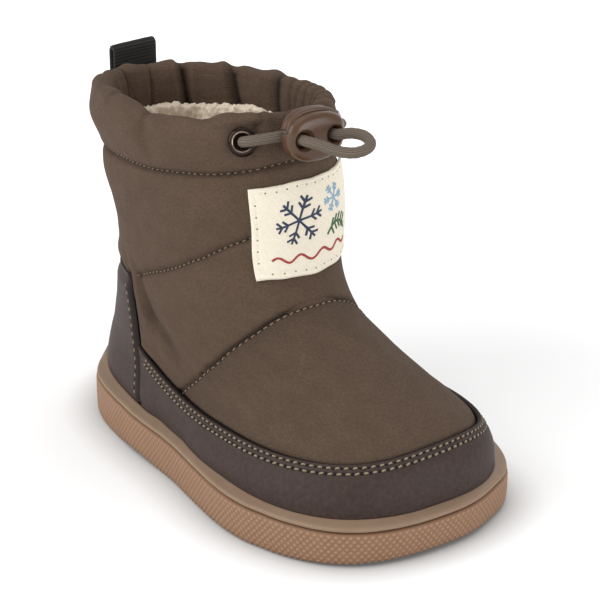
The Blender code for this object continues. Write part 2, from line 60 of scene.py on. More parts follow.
def smoothCurve(rows):
    # Monotone cubic through the rows of a table: first column in, the other columns out.
    rows = np.asarray(rows, float)
    x, y = rows[:, 0], rows[:, 1:]
    h = np.diff(x)[:, None]
    d = np.diff(y, axis=0) / h
    w1, w2 = 2 * h[1:] + h[:-1], h[1:] + 2 * h[:-1]
    same = d[:-1] * d[1:] > 0
    inner = np.where(same, (w1 + w2) * d[:-1] * d[1:] / np.where(same, w1 * d[1:] + w2 * d[:-1], 1.0), 0.0)
    slope = np.concatenate([d[:1], inner, d[-1:]])

    def read(at):
        at = np.clip(np.asarray(at, float), x[0], x[-1])
        i = np.clip(np.searchsorted(x, at, side="right") - 1, 0, len(x) - 2)
        step = (x[i + 1] - x[i])[..., None]
        u = (at - x[i])[..., None] / step
        rise = u * (1 - u) ** 2 * slope[i] + u * u * (u - 1) * slope[i + 1]
        return (1 + 2 * u) * (1 - u) ** 2 * y[i] + u * u * (3 - 2 * u) * y[i + 1] + step * rise

    return read


# Sections of the upper in per cent: height; front, back and widest stations; right and left half
# widths; toe power, heel power and waist.
sectionTable = smoothCurve([
    (7.5, 97.0, 3.6, 72.1, 44.3, 44.3, 2.50, 2.27, 0.04),
    (15.1, 96.8, 3.8, 71.5, 44.0, 44.3, 2.50, 2.27, 0.04),
    (18.9, 96.5, 4.0, 70.9, 42.7, 42.8, 2.50, 2.27, 0.04),
    (22.6, 95.3, 4.4, 69.1, 40.7, 40.1, 2.45, 2.27, 0.03),
    (26.4, 92.6, 5.0, 66.1, 38.8, 36.4, 2.40, 2.25, 0.01),
    (30.2, 88.7, 5.6, 61.2, 37.1, 33.3, 2.30, 2.25, 0.0),
    (35.8, 80.9, 6.5, 51.5, 34.8, 30.9, 2.15, 2.20, 0.0),
    (41.5, 73.3, 7.3, 44.2, 32.8, 30.1, 2.05, 2.20, 0.0),
    (47.2, 67.3, 7.8, 39.1, 31.6, 31.0, 2.00, 2.18, 0.0),
    (52.8, 63.0, 8.0, 35.8, 31.1, 33.3, 2.05, 2.15, 0.0),
    (58.5, 61.2, 7.9, 34.5, 31.3, 35.2, 2.10, 2.15, 0.0),
    (66.0, 60.3, 7.3, 33.3, 32.8, 36.8, 2.15, 2.15, 0.0),
    (75.5, 59.7, 5.8, 32.1, 34.8, 37.4, 2.20, 2.15, 0.0),
    (83.0, 58.8, 4.8, 31.5, 35.4, 36.8, 2.20, 2.15, 0.0),
    (91.5, 59.4, 3.0, 30.9, 37.7, 38.0, 2.20, 2.15, 0.0),
    (97.2, 58.2, 3.6, 30.9, 36.5, 36.8, 2.20, 2.15, 0.0),
    (100.0, 56.7, 5.2, 30.9, 33.5, 34.1, 2.20, 2.15, 0.0),
])
soleSection = np.array([100.0, 0.0, 74.8, 49.9, 50.1, 2.51, 2.27, 0.06])


def sectionAt(height):
    return sectionTable(np.asarray(height, float) / boot["collar"] * 100.0)


def outline(angle, section, inset=0.0):
    # Superellipse quarters meeting at the widest station. Angle 0 is the toe, 90 the boot's right.
    front, back, widest, right, left, toe, heel, waist = np.moveaxis(section, -1, 0)
    c, s = np.cos(np.radians(angle)), np.sin(np.radians(angle))
    power = 2.0 / np.where(c > 0, toe, heel)
    middle = widest * boot["length"] / 100.0
    end = np.where(c > 0, front * boot["length"] / 100.0 - inset, back * boot["length"] / 100.0 + inset)
    station = middle + np.abs(end - middle) * np.sign(c) * np.abs(c) ** power
    half = np.where(s > 0, right, left) * boot["ballWidth"] / 100.0 - inset
    arch = bell((station / boot["length"] - 0.36) / 0.14)
    return station, half * np.sign(s) * np.abs(s) ** power * (1.0 - waist * arch)


def spot(station, side, height):
    station, side, height = np.broadcast_arrays(station, side, height)
    return np.stack([-side, boot["length"] / 2 - station, height], -1).astype(float)


# How far the foot of the upper stands out of its smooth section on the boot's right, by station.
footTrim = smoothCurve([
    (0, 0.0), (20, 0.0), (35, 0.6), (55, 0.6), (66, 0.2), (74, -1.2), (88, -1.4), (97, -0.4), (104, 0.3),
    (115, 0.7), (125, 0.8), (150, 0.8), (158, 0.4), (165, 0.0)])


def rightSide(angle):
    # 1 along the boot's right side, fading out at the toe and the heel.
    return ease(angle / 8.0) * ease((180.0 - angle) / 14.0)


def upperPoint(angle, height):
    angle, height = np.broadcast_arrays(angle, height)
    section = sectionAt(height)
    trim = footTrim(outline(angle, section)[0])[..., 0] * rightSide(angle)
    return spot(*outline(angle, section, -trim * (1.0 - ease((height - 15.0) / 10.0))), height)


def upperNormal(angle, height):
    angle, height = np.broadcast_arrays(np.asarray(angle, float), np.asarray(height, float))
    along = upperPoint(angle + 0.8, height) - upperPoint(angle - 0.8, height)
    up = upperPoint(angle, height + 0.4) - upperPoint(angle, height - 0.4)
    return unit(np.cross(up, along))


def onUpper(angle, height, out=0.0):
    out = np.asarray(out, float)[..., None]
    return upperPoint(angle, height) + upperNormal(angle, height) * out


def grooveAt(station):
    return boot["grooveHeel"] + (boot["grooveToe"] - boot["grooveHeel"]) * station / boot["length"]


# Arch, toe spring and heel spring lift the tread off the ground: rise, place and length of each.
spring = {"arch": (0.9, 66.0, 16.0), "toe": (1.3, 128.0, 37.0), "heel": (0.8, 9.0, 9.0)}


def groundAt(station):
    rise, middle, half = spring["arch"]
    arch = rise * ease(1.0 - np.abs(station - middle) / half)
    rise, start, length = spring["toe"]
    toe = rise * np.maximum(0.0, (station - start) / length) ** 2
    rise, start, length = spring["heel"]
    return arch + toe + rise * np.maximum(0.0, (start - station) / length) ** 2


def runAlong(points):
    # Length along the first axis from the start to each point.
    steps = np.linalg.norm(np.diff(points, axis=0), axis=-1)
    return np.concatenate([np.zeros((1, *steps.shape[1:])), np.cumsum(steps, 0)])


def evenAngles(section, count, start=-180.0, stop=180.0):
    fine = np.linspace(start, stop, 4001)
    station, side = outline(fine, section)
    run = np.concatenate([[0.0], np.cumsum(np.hypot(np.diff(station), np.diff(side)))])
    return np.interp(np.linspace(0.0, run[-1], count), run, fine)


def roundOff(points, times=2, closed=False):
    # Corner cutting along the first axis: each corner goes to a quarter and three quarters of its legs.
    for _ in range(times):
        first = points if closed else points[:-1]
        after = np.roll(points, -1, 0) if closed else points[1:]
        cut = np.stack([0.75 * first + 0.25 * after, 0.25 * first + 0.75 * after], 1)
        cut = cut.reshape(-1, *points.shape[1:])
        points = cut if closed else np.concatenate([points[:1], cut, points[-1:]])
    return points


def evenRows(points, count):
    # The same surface read at even steps along the first axis.
    steps = np.linalg.norm(np.diff(points, axis=0), axis=-1)
    steps = steps.reshape(len(steps), -1).mean(1)
    run = np.concatenate([[0.0], np.cumsum(steps)])
    at = np.linspace(0.0, run[-1], count)
    i = np.clip(np.searchsorted(run, at, side="right") - 1, 0, len(run) - 2)
    u = ((at - run[i]) / (run[i + 1] - run[i])).reshape(-1, *[1] * (points.ndim - 1))
    return (1.0 - u) * points[i] + u * points[i + 1]


def routeThrough(stops, perSpan):
    # Catmull-Rom curve through the stops.
    stops = np.asarray(stops, float)
    ends = np.concatenate([2 * stops[:1] - stops[1:2], stops, 2 * stops[-1:] - stops[-2:-1]])
    a, b, c, d = (ends[k:len(ends) - 3 + k, None, :] for k in range(4))
    u = (np.arange(perSpan) / perSpan)[None, :, None]
    square, cube = 2 * a - 5 * b + 4 * c - d, 3 * b - a - 3 * c + d
    curve = 0.5 * (2 * b + (c - a) * u + square * u ** 2 + cube * u ** 3)
    return np.concatenate([curve.reshape(-1, stops.shape[1]), stops[-1:]])


# The camera stands where the photo's camera stood and is turned so the one boot fills the frame.
view = {"position": (-0.2520, -0.3702, 0.2011), "direction": (0.602, 0.741, -0.297),
        "turnRight": -0.0619, "turnUp": -0.0309, "lens": 96.0, "near": 0.01, "far": 50.0}


def makeCamera():
    data = bpy.data.cameras.new("photo_camera")
    data.lens = view["lens"]
    data.clip_start, data.clip_end = view["near"], view["far"]
    camera = bpy.data.objects.new("photo_camera", data)
    ahead = Vector(view["direction"]).normalized()
    right = ahead.cross(Vector((0, 0, 1))).normalized()
    ahead = ahead + view["turnRight"] * right + view["turnUp"] * right.cross(ahead)
    camera.location = view["position"]
    camera.rotation_euler = ahead.to_track_quat("-Z", "Y").to_euler()
    bpy.context.scene.collection.objects.link(camera)
    bpy.context.scene.camera = camera


makeCamera()
print("camera set")


def linear(color):
    channels = [int(color[k:k + 2], 16) / 255.0 for k in (1, 3, 5)]
    return [c / 12.92 if c <= 0.04045 else ((c + 0.055) / 1.055) ** 2.4 for c in channels] + [1.0]


def addNode(tree, kind, inputs, **settings):
    made = tree.nodes.new(kind)
    for key, value in settings.items():
        setattr(made, key, value)
    for key, value in inputs.items():
        if isinstance(value, bpy.types.NodeSocket):
            tree.links.new(value, made.inputs[key])
        else:
            made.inputs[key].default_value = value
    return made.outputs


def newMaterial(name, color, roughness, **sockets):
    material = bpy.data.materials.new(name)
    material.use_nodes = True
    shader = material.node_tree.nodes["Principled BSDF"]
    shader.inputs["Base Color"].default_value = linear(color)
    shader.inputs["Roughness"].default_value = roughness
    for key, value in sockets.items():
        words = "".join(" " + c.lower() if c.isupper() else c for c in key).split()
        words = " ".join(word.capitalize() for word in words).replace("Ior", "IOR")
        shader.inputs[words].default_value = value
    return material, material.node_tree, shader.inputs


def mottled(tree, place, scale, dark, light, detail=3.0):
    # Two tones mixed by a soft noise whose grain is about one over the scale.
    noise = addNode(tree, "ShaderNodeTexNoise", {"Vector": place, "Scale": scale, "Detail": detail})
    tone = {0: noise["Fac"], 6: linear(dark), 7: linear(light)}
    return addNode(tree, "ShaderNodeMix", tone, data_type="RGBA")[2], noise["Fac"]


def shaded(tree, tone, color):
    # The tone goes over to another colour where the piece's shade attribute rises.
    # Painted shade on the shell and leather, a painted highlight on the eyelets, paler dot tips on the gum.
    shade = addNode(tree, "ShaderNodeAttribute", {}, attribute_name="shade")["Fac"]
    return addNode(tree, "ShaderNodeMix", {0: shade, 6: tone, 7: linear(color)}, data_type="RGBA")[2]


def grained(name, color, roughness, grain, shade=None, relief=None, coords="Object", **sockets):
    # A material of two mottled tones, shaded where asked, its grain raised by (strength, height in mm).
    material, tree, shader = newMaterial(name, color, roughness, **sockets)
    place = addNode(tree, "ShaderNodeTexCoord", {})[coords]
    tone, fine = mottled(tree, place, *grain)
    tree.links.new(shaded(tree, tone, shade) if shade else tone, shader["Base Color"])
    if relief:
        bump = {"Strength": relief[0], "Distance": relief[1] * mm, "Height": fine}
        tree.links.new(addNode(tree, "ShaderNodeBump", bump)[0], shader["Normal"])
    return material, tree, shader, place


def makeShellMaterial():
    # Brushed nylon shell: matt, a fine cross weave, with painted shade in its seams, creases and gaps. The
    # weave is drawn at 0.9 mm, about twice its real pitch, so that it shows at all.
    material, tree, shader = newMaterial("padded nylon shell", "#4f3e31", 0.9, specularIorLevel=0.25)
    place = addNode(tree, "ShaderNodeTexCoord", {})["UV"]
    patches, broad = mottled(tree, place, 0.16, "#493a2f", "#58473a", 2.0)
    grain, fine = mottled(tree, place, 1.3, "#000000", "#ffffff", 5.0)
    tone = addNode(tree, "ShaderNodeMix", {0: 0.45, 6: patches, 7: grain}, data_type="RGBA",
                   blend_type="OVERLAY")[2]
    tree.links.new(shaded(tree, tone, "#0e0907"), shader["Base Color"])
    bands = {"Vector": place, "Scale": 0.35, "Distortion": 1.2, "Detail": 1.0}
    weave = [addNode(tree, "ShaderNodeTexWave", bands, bands_direction=way)["Fac"] for way in ("X", "Y")]
    cross = addNode(tree, "ShaderNodeMath", {0: weave[0], 1: weave[1]}, operation="MAXIMUM")[0]
    rough = addNode(tree, "ShaderNodeMath", {0: fine, 1: 1.5, 2: cross}, operation="MULTIPLY_ADD")[0]
    bump = addNode(tree, "ShaderNodeBump", {"Strength": 0.6, "Distance": 0.14 * mm, "Height": rough})[0]
    soft = {"Strength": 0.5, "Distance": 0.7 * mm, "Height": broad, "Normal": bump}
    tree.links.new(addNode(tree, "ShaderNodeBump", soft)[0], shader["Normal"])
    return material


def makeMaterials():
    made = {"shell": makeShellMaterial()}

    # Synthetic leather: dark, a soft sheen and a fine pebble grain of about 0.6 mm, with painted shade along
    # its edges.
    made["leather"], tree, shader, place = grained(
        "pebbled synthetic leather", "#332724", 0.6, (800.0, "#281e1b", "#493a36", 5.0), "#100c0b",
        specularIorLevel=0.21)
    pebble = addNode(tree, "ShaderNodeTexVoronoi", {"Vector": place, "Scale": 1500.0})["Distance"]
    bump = addNode(tree, "ShaderNodeBump", {"Strength": 0.6, "Distance": 0.06 * mm, "Height": pebble})[0]
    tree.links.new(bump, shader["Normal"])

    # Gum rubber: warm tan with a dull skin, paler on the tips of its dots.
    made["gum"] = grained("gum rubber", "#89664e", 0.62, (350.0, "#7a593f", "#87654b"), "#9f7c62")[0]

    # Smooth foxing rubber: paler and greyer than the gum, with a faint mould grain.
    made["foxing"] = grained("smooth tan rubber", "#7b6753", 0.55, (300.0, "#7f6752", "#8a725d"),
                             relief=(0.2, 0.05))[0]

    # Curly pile: pale and woolly, with a soft sheen.
    made["pile"] = grained("cream sherpa pile", "#cfc0a8", 0.95, (1400.0, "#cfbda6", "#efe2d0", 5.0),
                           relief=(0.8, 0.3), sheenWeight=0.3)[0]

    # Moulded plastic of the cord lock: brown, a satin skin with a faint grain.
    made["plastic"] = grained("brown moulded plastic", "#4a3323", 0.28, (900.0, "#473122", "#563d2b"),
                              relief=(0.25, 0.05), specularIorLevel=0.36)[0]

    # Gunmetal: near black, with a painted highlight along the lip.
    made["metal"], tree, shader = newMaterial("gunmetal eyelet", "#2b221e", 0.16, metallic=1.0)
    tree.links.new(shaded(tree, linear("#2b221e"), "#b39e92"), shader["Base Color"])

    # Braided cord: olive grey, with paler yarns running along it.
    made["cord"], tree, shader = newMaterial("braided polyester cord", "#595044", 0.85)
    place = addNode(tree, "ShaderNodeTexCoord", {})["UV"]
    stripe = addNode(tree, "ShaderNodeTexWave", {"Vector": place, "Scale": 0.6, "Distortion": 0.6})["Fac"]
    yarns = {0: stripe, 6: linear("#433a31"), 7: linear("#706356")}
    tree.links.new(addNode(tree, "ShaderNodeMix", yarns, data_type="RGBA")[2], shader["Base Color"])

    # Label cloth: cream twill.
    made["label"], tree, shader, place = grained(
        "cream label twill", "#e1d8c6", 0.85, (1.1, "#d8ceb9", "#eae2d2", 4.0), coords="UV")
    twill = addNode(tree, "ShaderNodeTexWave", {"Vector": place, "Scale": 0.5}, bands_direction="DIAGONAL")
    bump = {"Strength": 0.6, "Distance": 0.1 * mm, "Height": twill["Fac"]}
    tree.links.new(addNode(tree, "ShaderNodeBump", bump)[0], shader["Normal"])

    # Plain threads, painted shade for needle holes, dents and pinched cloth, the label's yarns and the black
    # webbing.
    for key, name, color, roughness in (
            ("ochre", "ochre sewing thread", "#8a7b63", 0.8), ("brown", "tan sewing thread", "#84745c", 0.75),
            ("cream", "cream sewing thread", "#ded5c2", 0.75),
            ("hole", "needle hole shadow", "#090706", 0.95),
            ("pinch", "pinched cloth shadow", "#1c140f", 0.95),
            ("dent", "needle dent shadow", "#8f7f66", 0.95), ("navy", "navy label yarn", "#2b364e", 0.8),
            ("sky", "sky label yarn", "#87a6bd", 0.8), ("green", "green label yarn", "#396043", 0.8),
            ("red", "red label yarn", "#973833", 0.8)):
        made[key] = newMaterial(name, color, roughness)[0]
    made["webbing"] = newMaterial("ribbed nylon webbing", "#15110d", 0.85, sheenWeight=0.05)[0]
    return made


materials = makeMaterials()
print("materials made")


def gridFaces(rows, cols, wrapRows=False, wrapCols=True):
    # Quads over points numbered row by row, the far edges joined where the grid wraps.
    i = np.arange(rows if wrapRows else rows - 1)[:, None]
    j = np.arange(cols if wrapCols else cols - 1)[None, :]
    low, high = i * cols, (i + 1) % rows * cols
    return np.stack(np.broadcast_arrays(low + j, low + (j + 1) % cols, high + (j + 1) % cols, high + j),
                    -1).reshape(-1, 4)


def tubeFaces(rings, sides, way=1):
    # Quads round a tube of rings and the flat ends that close it; a way of -1 turns them all over.
    ends = [list(range(sides))[::-1], list(range((rings - 1) * sides, rings * sides))]
    return [face[::way] for face in gridFaces(rings, sides).tolist() + ends]


def addPiece(name, points, faces, material, slot, body="boot", uv=None, shade=None):
    mesh = bpy.data.meshes.new(name)
    mesh.from_pydata((np.asarray(points) * mm).tolist(), [], faces)
    mesh.polygons.foreach_set("use_smooth", np.ones(len(mesh.polygons), bool))
    if uv is not None:
        mesh.uv_layers.new(name="UVMap").data.foreach_set("uv", np.asarray(uv, float).ravel())
    if shade is not None:
        layer = mesh.attributes.new("shade", "FLOAT", "POINT")
        layer.data.foreach_set("value", np.clip(shade, 0.0, 1.0).ravel())
    mesh.materials.append(materials[material])
    mesh.update()
    piece = bpy.data.objects.new(name, mesh)
    bpy.context.scene.collection.objects.link(piece)
    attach(piece, body)
    return piece


def gridPiece(name, points, material, slot, closed=False, uv=None, **rest):
    # A tube of points turned outward by the sign of its volume: its rows close to a ring or get flat ends.
    rows, cols = points.shape[:2]
    flat = points.reshape(-1, 3)
    faces = gridFaces(rows, cols, closed)
    a, b, c, d = (flat[faces[:, k]] - flat.mean(0) for k in range(4))
    way = -1 if np.sum(np.cross(a, b) * c + np.cross(a, c) * d) < 0 else 1
    corners = None
    if uv is not None:
        wide = gridFaces(rows + closed, cols + 1, wrapCols=False)[:, ::way]
        corners = uv.reshape(-1, 2)[wide].reshape(-1, 2)
        corners = np.concatenate([corners, np.zeros((0 if closed else 2 * cols, 2))])
    lists = faces[:, ::way].tolist() if closed else tubeFaces(rows, cols, way)
    return addPiece(name, flat, lists, material, slot, uv=corners, **rest)


# Eyelets: their angles and height on the collar, how the cloth sinks under and round each as (depth,
# width), the width of the painted shadow round each, and the middles of their seats.
eyelets = {"right": 28.5, "left": -36.0, "height": 98.8, "dent": (3.4, 2.1), "sink": (0.6, 6.0), "dark": 2.6}
eyeletSeats = {k: onUpper(eyelets[k], eyelets["height"], out) for k, out in (("right", 0.3), ("left", -0.6))}

# Cord lock: a pebble with a domed front and two flared cord holes, and a press cap that arches over
# its top behind the dome and can sink by its travel.
lock = {"station": 101.0, "side": 1.0, "height": 101.7, "half": 9.3, "drop": 7.5, "crown": 6.2,
        "underCap": 4.7, "shoulder": 7.5, "ledge": 0.8, "step": 4.95, "holeAcross": 5.4, "holeHeight": -0.8,
        "roll": 2.0, "square": 2.5, "capHalf": 9.2, "capCrown": 7.2, "capFoot": 2.2, "capWall": 0.7}


def lockPoint(forward, right, up):
    c, s = np.cos(np.radians(lock["roll"])), np.sin(np.radians(lock["roll"]))
    return spot(lock["station"] + forward, lock["side"] + right * c + up * s,
                lock["height"] + up * c - right * s)


# Drawcord: out of the right eyelet, behind and through the lock, round its loop and back to the left
# eyelet. Its stops in the lock are forward, outward and up from a hole, and the loop's are forward, right
# and up from between the holes.
cord = {"diameter": 3.1, "braid": 0.1, "strands": 5, "lay": 9.0, "sides": 30, "perSpan": 30, "rings": 420}
cordLoop = ((12.2, 3.0, -0.7), (16.0, 0.8, -1.8), (19.6, -2.2, -2.1), (21.0, -5.4, -1.3),
            (19.4, -7.9, -0.3), (15.6, -8.7, 0.7), (11.6, -7.5, 0.9))
cordThrough = ((-1.6, 3.0, 0.0), (-0.8, 0.8, 0.0), (1.4, 0.0, 0.2), (7.6, 0.0, 0.2))


def makeCord():
    stops = []
    for side, key, lift in ((1, "right", 2.3), (-1, "left", 1.2)):
        seat, axis = eyeletSeats[key], upperNormal(eyelets[key], eyelets["height"])
        across = side * lock["holeAcross"]
        along = lockPoint(-1.0, across, lock["holeHeight"]) - seat
        along = unit(along - (along @ axis) * axis)
        stops.append([seat - 1.2 * axis, seat + 0.9 * axis + 0.6 * along, seat + lift * axis + 3.2 * along]
                     + [lockPoint(f, across + side * r, lock["holeHeight"] + u) for f, r, u in cordThrough])
    loopStops = [lockPoint(f, r, lock["holeHeight"] + u) for f, r, u in cordLoop]
    path = routeThrough(stops[0] + loopStops + stops[1][::-1], cord["perSpan"])
    path = evenRows(roundOff(path, 2), cord["rings"])
    run = runAlong(path)
    along = unit(np.gradient(path, axis=0))
    flat = unit(np.cross(along, np.array([0.0, 0.0, 1.0])))
    tall = np.cross(flat, along)
    turn = np.linspace(0.0, 2 * np.pi, cord["sides"] + 1)[:-1]
    twist = 2 * np.pi * run[:, None] / cord["lay"]
    yarn = np.maximum(np.cos(cord["strands"] * (turn + twist)), np.cos(cord["strands"] * (turn - twist)))
    radius = cord["diameter"] / 2 - cord["braid"] * (1.0 - yarn) * 0.5
    points = path[:, None] + radius[..., None] * (np.cos(turn)[:, None] * flat[:, None]
                                                  + np.sin(turn)[:, None] * tall[:, None])
    u, v = np.broadcast_arrays(np.linspace(0.0, np.pi * cord["diameter"], cord["sides"] + 1), run[:, None])
    piece = gridPiece("drawcord", points, "cord", "braided_cord", uv=np.stack([u, v], -1))
    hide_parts("drawcord_bar_right", "drawcord_bar_left", "drawcord_loop")


makeCord()
print("cord made")


def mirrored(side, middle):
    # A line from the left, through its middle, to the right: the left repeats the right side's stops.
    return [(-angle, height) for angle, height in side[::-1]] + middle + side


# Seams of the padded fabric: angle and height along each line, how deep and wide it pinches, how far
# the cloth sags beside it, how far below it its stitches lie, how far round it runs, how much painted shade
# darkens the line and the cloth under it, and where the label stops its stitches.
seams = {
    "casing": {
        "line": [(-180, 86.6), (-150, 86.4), (-120, 86.3), (-90, 86.6), (-66, 87.4), (-44, 89), (-22, 91),
                 (-4.5, 91.8), (9.5, 91.2), (23, 89.8), (36.5, 88.8), (49.5, 88), (66.5, 87.2), (82, 86.5),
                 (99, 86.5), (116.5, 86.2), (150, 86.4), (180, 86.6)],
        "depth": 1.2, "narrow": 0.8, "sag": 0.9, "reach": 4.0, "below": 0.0, "limit": 200.0, "ink": 0.7,
        "under": 0.0},
    "quilt": {
        "line": mirrored([(36, 69.5), (43, 67.8), (51, 65.5), (59, 63), (67, 60.8), (76, 58), (85.5, 55.5),
                          (96.5, 52.8), (111, 49)], [(-20, 73), (0, 75), (20, 73), (28.5, 71.2)]),
        "depth": 0.9, "narrow": 0.9, "sag": 0.9, "reach": 4.5, "below": 0.0, "limit": 111.0, "ink": 0.5,
        "under": 0.0, "stops": (-44.0, 29.5)},
    "vamp": {
        "line": mirrored([(27, 51.2), (34.5, 49.7), (42, 47.9), (49, 46.1), (57, 43.9), (66, 41.5),
                          (76, 38.7), (82, 37.1), (89.3, 35.2), (93, 33.3), (96.2, 31.4), (99.2, 29.5),
                          (103, 26.5), (106, 23.5)],
                         [(-20, 52.3), (-12, 53.2), (-4, 53.6), (4.6, 53.5), (12.3, 53.1), (19.8, 52.3)]),
        "depth": 1.3, "narrow": 0.65, "sag": 0.6, "reach": 3.5, "below": 1.25, "limit": 106.0, "ink": 1.0,
        "under": 0.33},
}
for seam in seams.values():
    seam["curve"] = smoothCurve(seam["line"])

# Leather overlays: how far they stand out, their upper edges, and the counter's front edge with its lean.
overlay = {"out": 1.6, "inner": 0.4, "mudguardTop": 24.2, "toeRise": 1.8, "endRise": 5.0, "farDrop": 1.2,
           "counterTop": 48.5, "edgeAtSole": 61.6, "edgeLean": 0.59, "edgeSlant": 0.86}


def mudguardTop(angle):
    ends = np.maximum(0.0, (np.abs(angle) - 94.0) / 24.0) ** 1.6
    low = overlay["farDrop"] * bell((angle + 58.0) / 26.0)
    toe = overlay["toeRise"] * bell((angle + 10.0) / 34.0)
    return overlay["mudguardTop"] + toe + overlay["endRise"] * ends - low


def counterEdge(height):
    return overlay["edgeAtSole"] - overlay["edgeLean"] * (height - boot["grooveHeel"])


# Folds: from and to (angle, height), then width and depth in mm; a ridge has a negative depth.
folds = [
    ((80, 104), (77, 92), 2.6, 1.2), ((88, 102), (86, 94), 3.0, -0.4), ((20, 105), (21.5, 99), 1.2, 1.3),
    ((-12, 27.5), (-34, 29), 6.0, -0.6), ((-34, 29), (-62, 31), 6.0, -0.7),
    ((109.8, 50), (106.4, 38), 2.0, 1.7), ((108.3, 43), (100, 31.5), 2.0, 1.5),
    ((113.5, 46), (109, 36), 1.9, -0.9), ((98, 48), (91, 38), 4.0, -0.7),
    ((-110, 46), (-103, 37), 2.8, 1.1), ((-97, 48), (-91, 38), 4.0, -0.6),
    ((-70, 103), (-72, 92), 2.6, 0.6), ((140, 100), (138, 90), 2.4, 0.5),
    ((-130, 101), (-128, 90), 2.6, 0.6), ((70, 82), (96, 72), 5.0, 0.4), ((40, 62), (80, 50), 5.0, -0.4),
]

# Pleats of the gathered casing: angle, width and depth in mm, lowest level outside, last level inside
# and lean in degrees a mm. The level is the height outside, and runs on over the rim and down inside.
# The rim dips by (angle, width in degrees, depth in mm).
rim = {"start": 103.0, "rise": 3.0, "arc": 9.4, "mmPerDegree": 0.71,
       "dips": ((69, 21, 3.1), (44, 9, 0.7), (8, 9, 0.6), (18, 8, -0.8))}
pleats = [
    (-176, 0.6, 0.8, 107, 126, 0.0), (-155, 1.4, 2.6, 106.5, 126, 0.3), (-123, 1.6, 2.6, 106.5, 126, 0.4),
    (-92, 1.6, 1.7, 105.5, 126, 0.1), (-83, 1.4, 0.6, 104, 120, 0.3), (-75, 1.2, 0.5, 102, 117, -0.2),
    (-68.5, 1.1, 0.6, 102, 119, 0.1), (-60, 1.3, 0.5, 101, 118, 0.3), (-52, 1.2, 0.6, 102, 120, -0.2),
    (-43, 1.3, 0.6, 101, 121, 0.0), (-24, 1.4, 0.6, 100, 120, 0.2), (-12, 1.3, 0.7, 100, 121, -0.2),
    (2, 1.5, 0.5, 102, 119, 0.0), (19, 1.5, 0.7, 102, 122, 0.2), (47, 2.4, 0.3, 103, 124, 0.0),
    (79, 2.4, 0.6, 101, 124, 0.0), (101, 2.4, 0.5, 102, 124, 0.0), (121, 2.0, 0.6, 104, 122, 0.0),
    (142, 1.7, 1.5, 104, 126, -0.3), (164, 1.5, 1.0, 105, 124, 0.2),
]

# Sewn label: angles of its sides, heights of its edges, tilt in mm over its spread in degrees, flat size.
labelPatch = {"leftTop": 27.0, "leftBottom": 31.3, "right": -42.0, "top": 85.3, "bottom": 58.9, "tilt": 2.6,
              "spread": 70.0, "size": np.array([36.0, 26.0])}


def labelLeft(v):
    return labelPatch["leftBottom"] + (labelPatch["leftTop"] - labelPatch["leftBottom"]) * v


def slopes(angle, height):
    # Steps on the surface: the vector of one degree round it and of one millimetre up.
    around = (upperPoint(angle + 0.8, height) - upperPoint(angle - 0.8, height)) / 1.6
    up = (upperPoint(angle, height + 0.4) - upperPoint(angle, height - 0.4)) / 0.8
    return around, up


def products(around, up):
    return np.sum(around * around, -1), np.sum(around * up, -1), np.sum(up * up, -1)


def lineDistance(read, angle, height, steps):
    # Signed distance above a line of heights: height minus line, over its gradient on the surface.
    slope = read(angle + 0.5) - read(angle - 0.5)
    e, f, g = products(*steps)
    grade = (g * slope ** 2 + 2 * f * slope + e) / np.maximum(e * g - f * f, 1e-6)
    return (height - read(angle)) / np.sqrt(grade)


def beside(angle, height, move):
    # A line moved sideways over the surface, downhill for a positive move.
    around, up = slopes(angle, height)
    along = around * np.gradient(angle)[:, None] + up * np.gradient(height)[:, None]
    side = unit(np.cross(along, upperNormal(angle, height)))
    side = -side * np.sign(side[:, 2].mean()) * move
    e, f, g = products(around, up)
    p, q = np.sum(around * side, -1), np.sum(up * side, -1)
    area = e * g - f * f
    return angle + (g * p - f * q) / area, height + (e * q - f * p) / area


def foldDistance(points, start, stop):
    span = stop - start
    u = np.clip(((points - start) @ span) / (span @ span), 0.0, 1.0)
    return np.linalg.norm(points - start - u[..., None] * span, axis=-1), u


def gathers(angle, level):
    lumps = 0.3 * np.sin(angle * 0.19 + 1.0) + 0.25 * np.sin(angle * 0.33 + 2.0 * np.sin(angle * 0.05))
    out, shade = lumps * ease((level - 98.0) / 8.0) * ease((118.0 - level) / 8.0), 0.0
    for middle, width, depth, low, high, lean in pleats:
        turn = (angle - middle - lean * (level - 110.0) + 180.0) % 360.0 - 180.0
        across = turn * rim["mmPerDegree"] / width
        reach = ease((level - low + 3.0) / 10.0) * ease((high + 4.0 - level) / 5.0)
        dip = np.where(across < 0, bell(across), bell(across / 1.9)) - 0.35 * bell((across - 3.4) / 1.6)
        out = out - depth * reach * (dip - 0.25 * bell((across + 2.0) / 1.1))
        # Painted shade along each pleat's crease.
        shade = shade + 0.65 * np.minimum(depth, 1.4) * reach * bell(across / 0.5)
    return out, shade


def coverDistances(angle, height, steps):
    # Distances above the mudguard and outside the counter; negative beneath them.
    over = lineDistance(mudguardTop, angle, height, steps)
    station = outline(angle, sectionAt(height))[0]
    ahead = (station - counterEdge(height)) * overlay["edgeSlant"]
    return over, np.maximum(ahead, height - overlay["counterTop"])


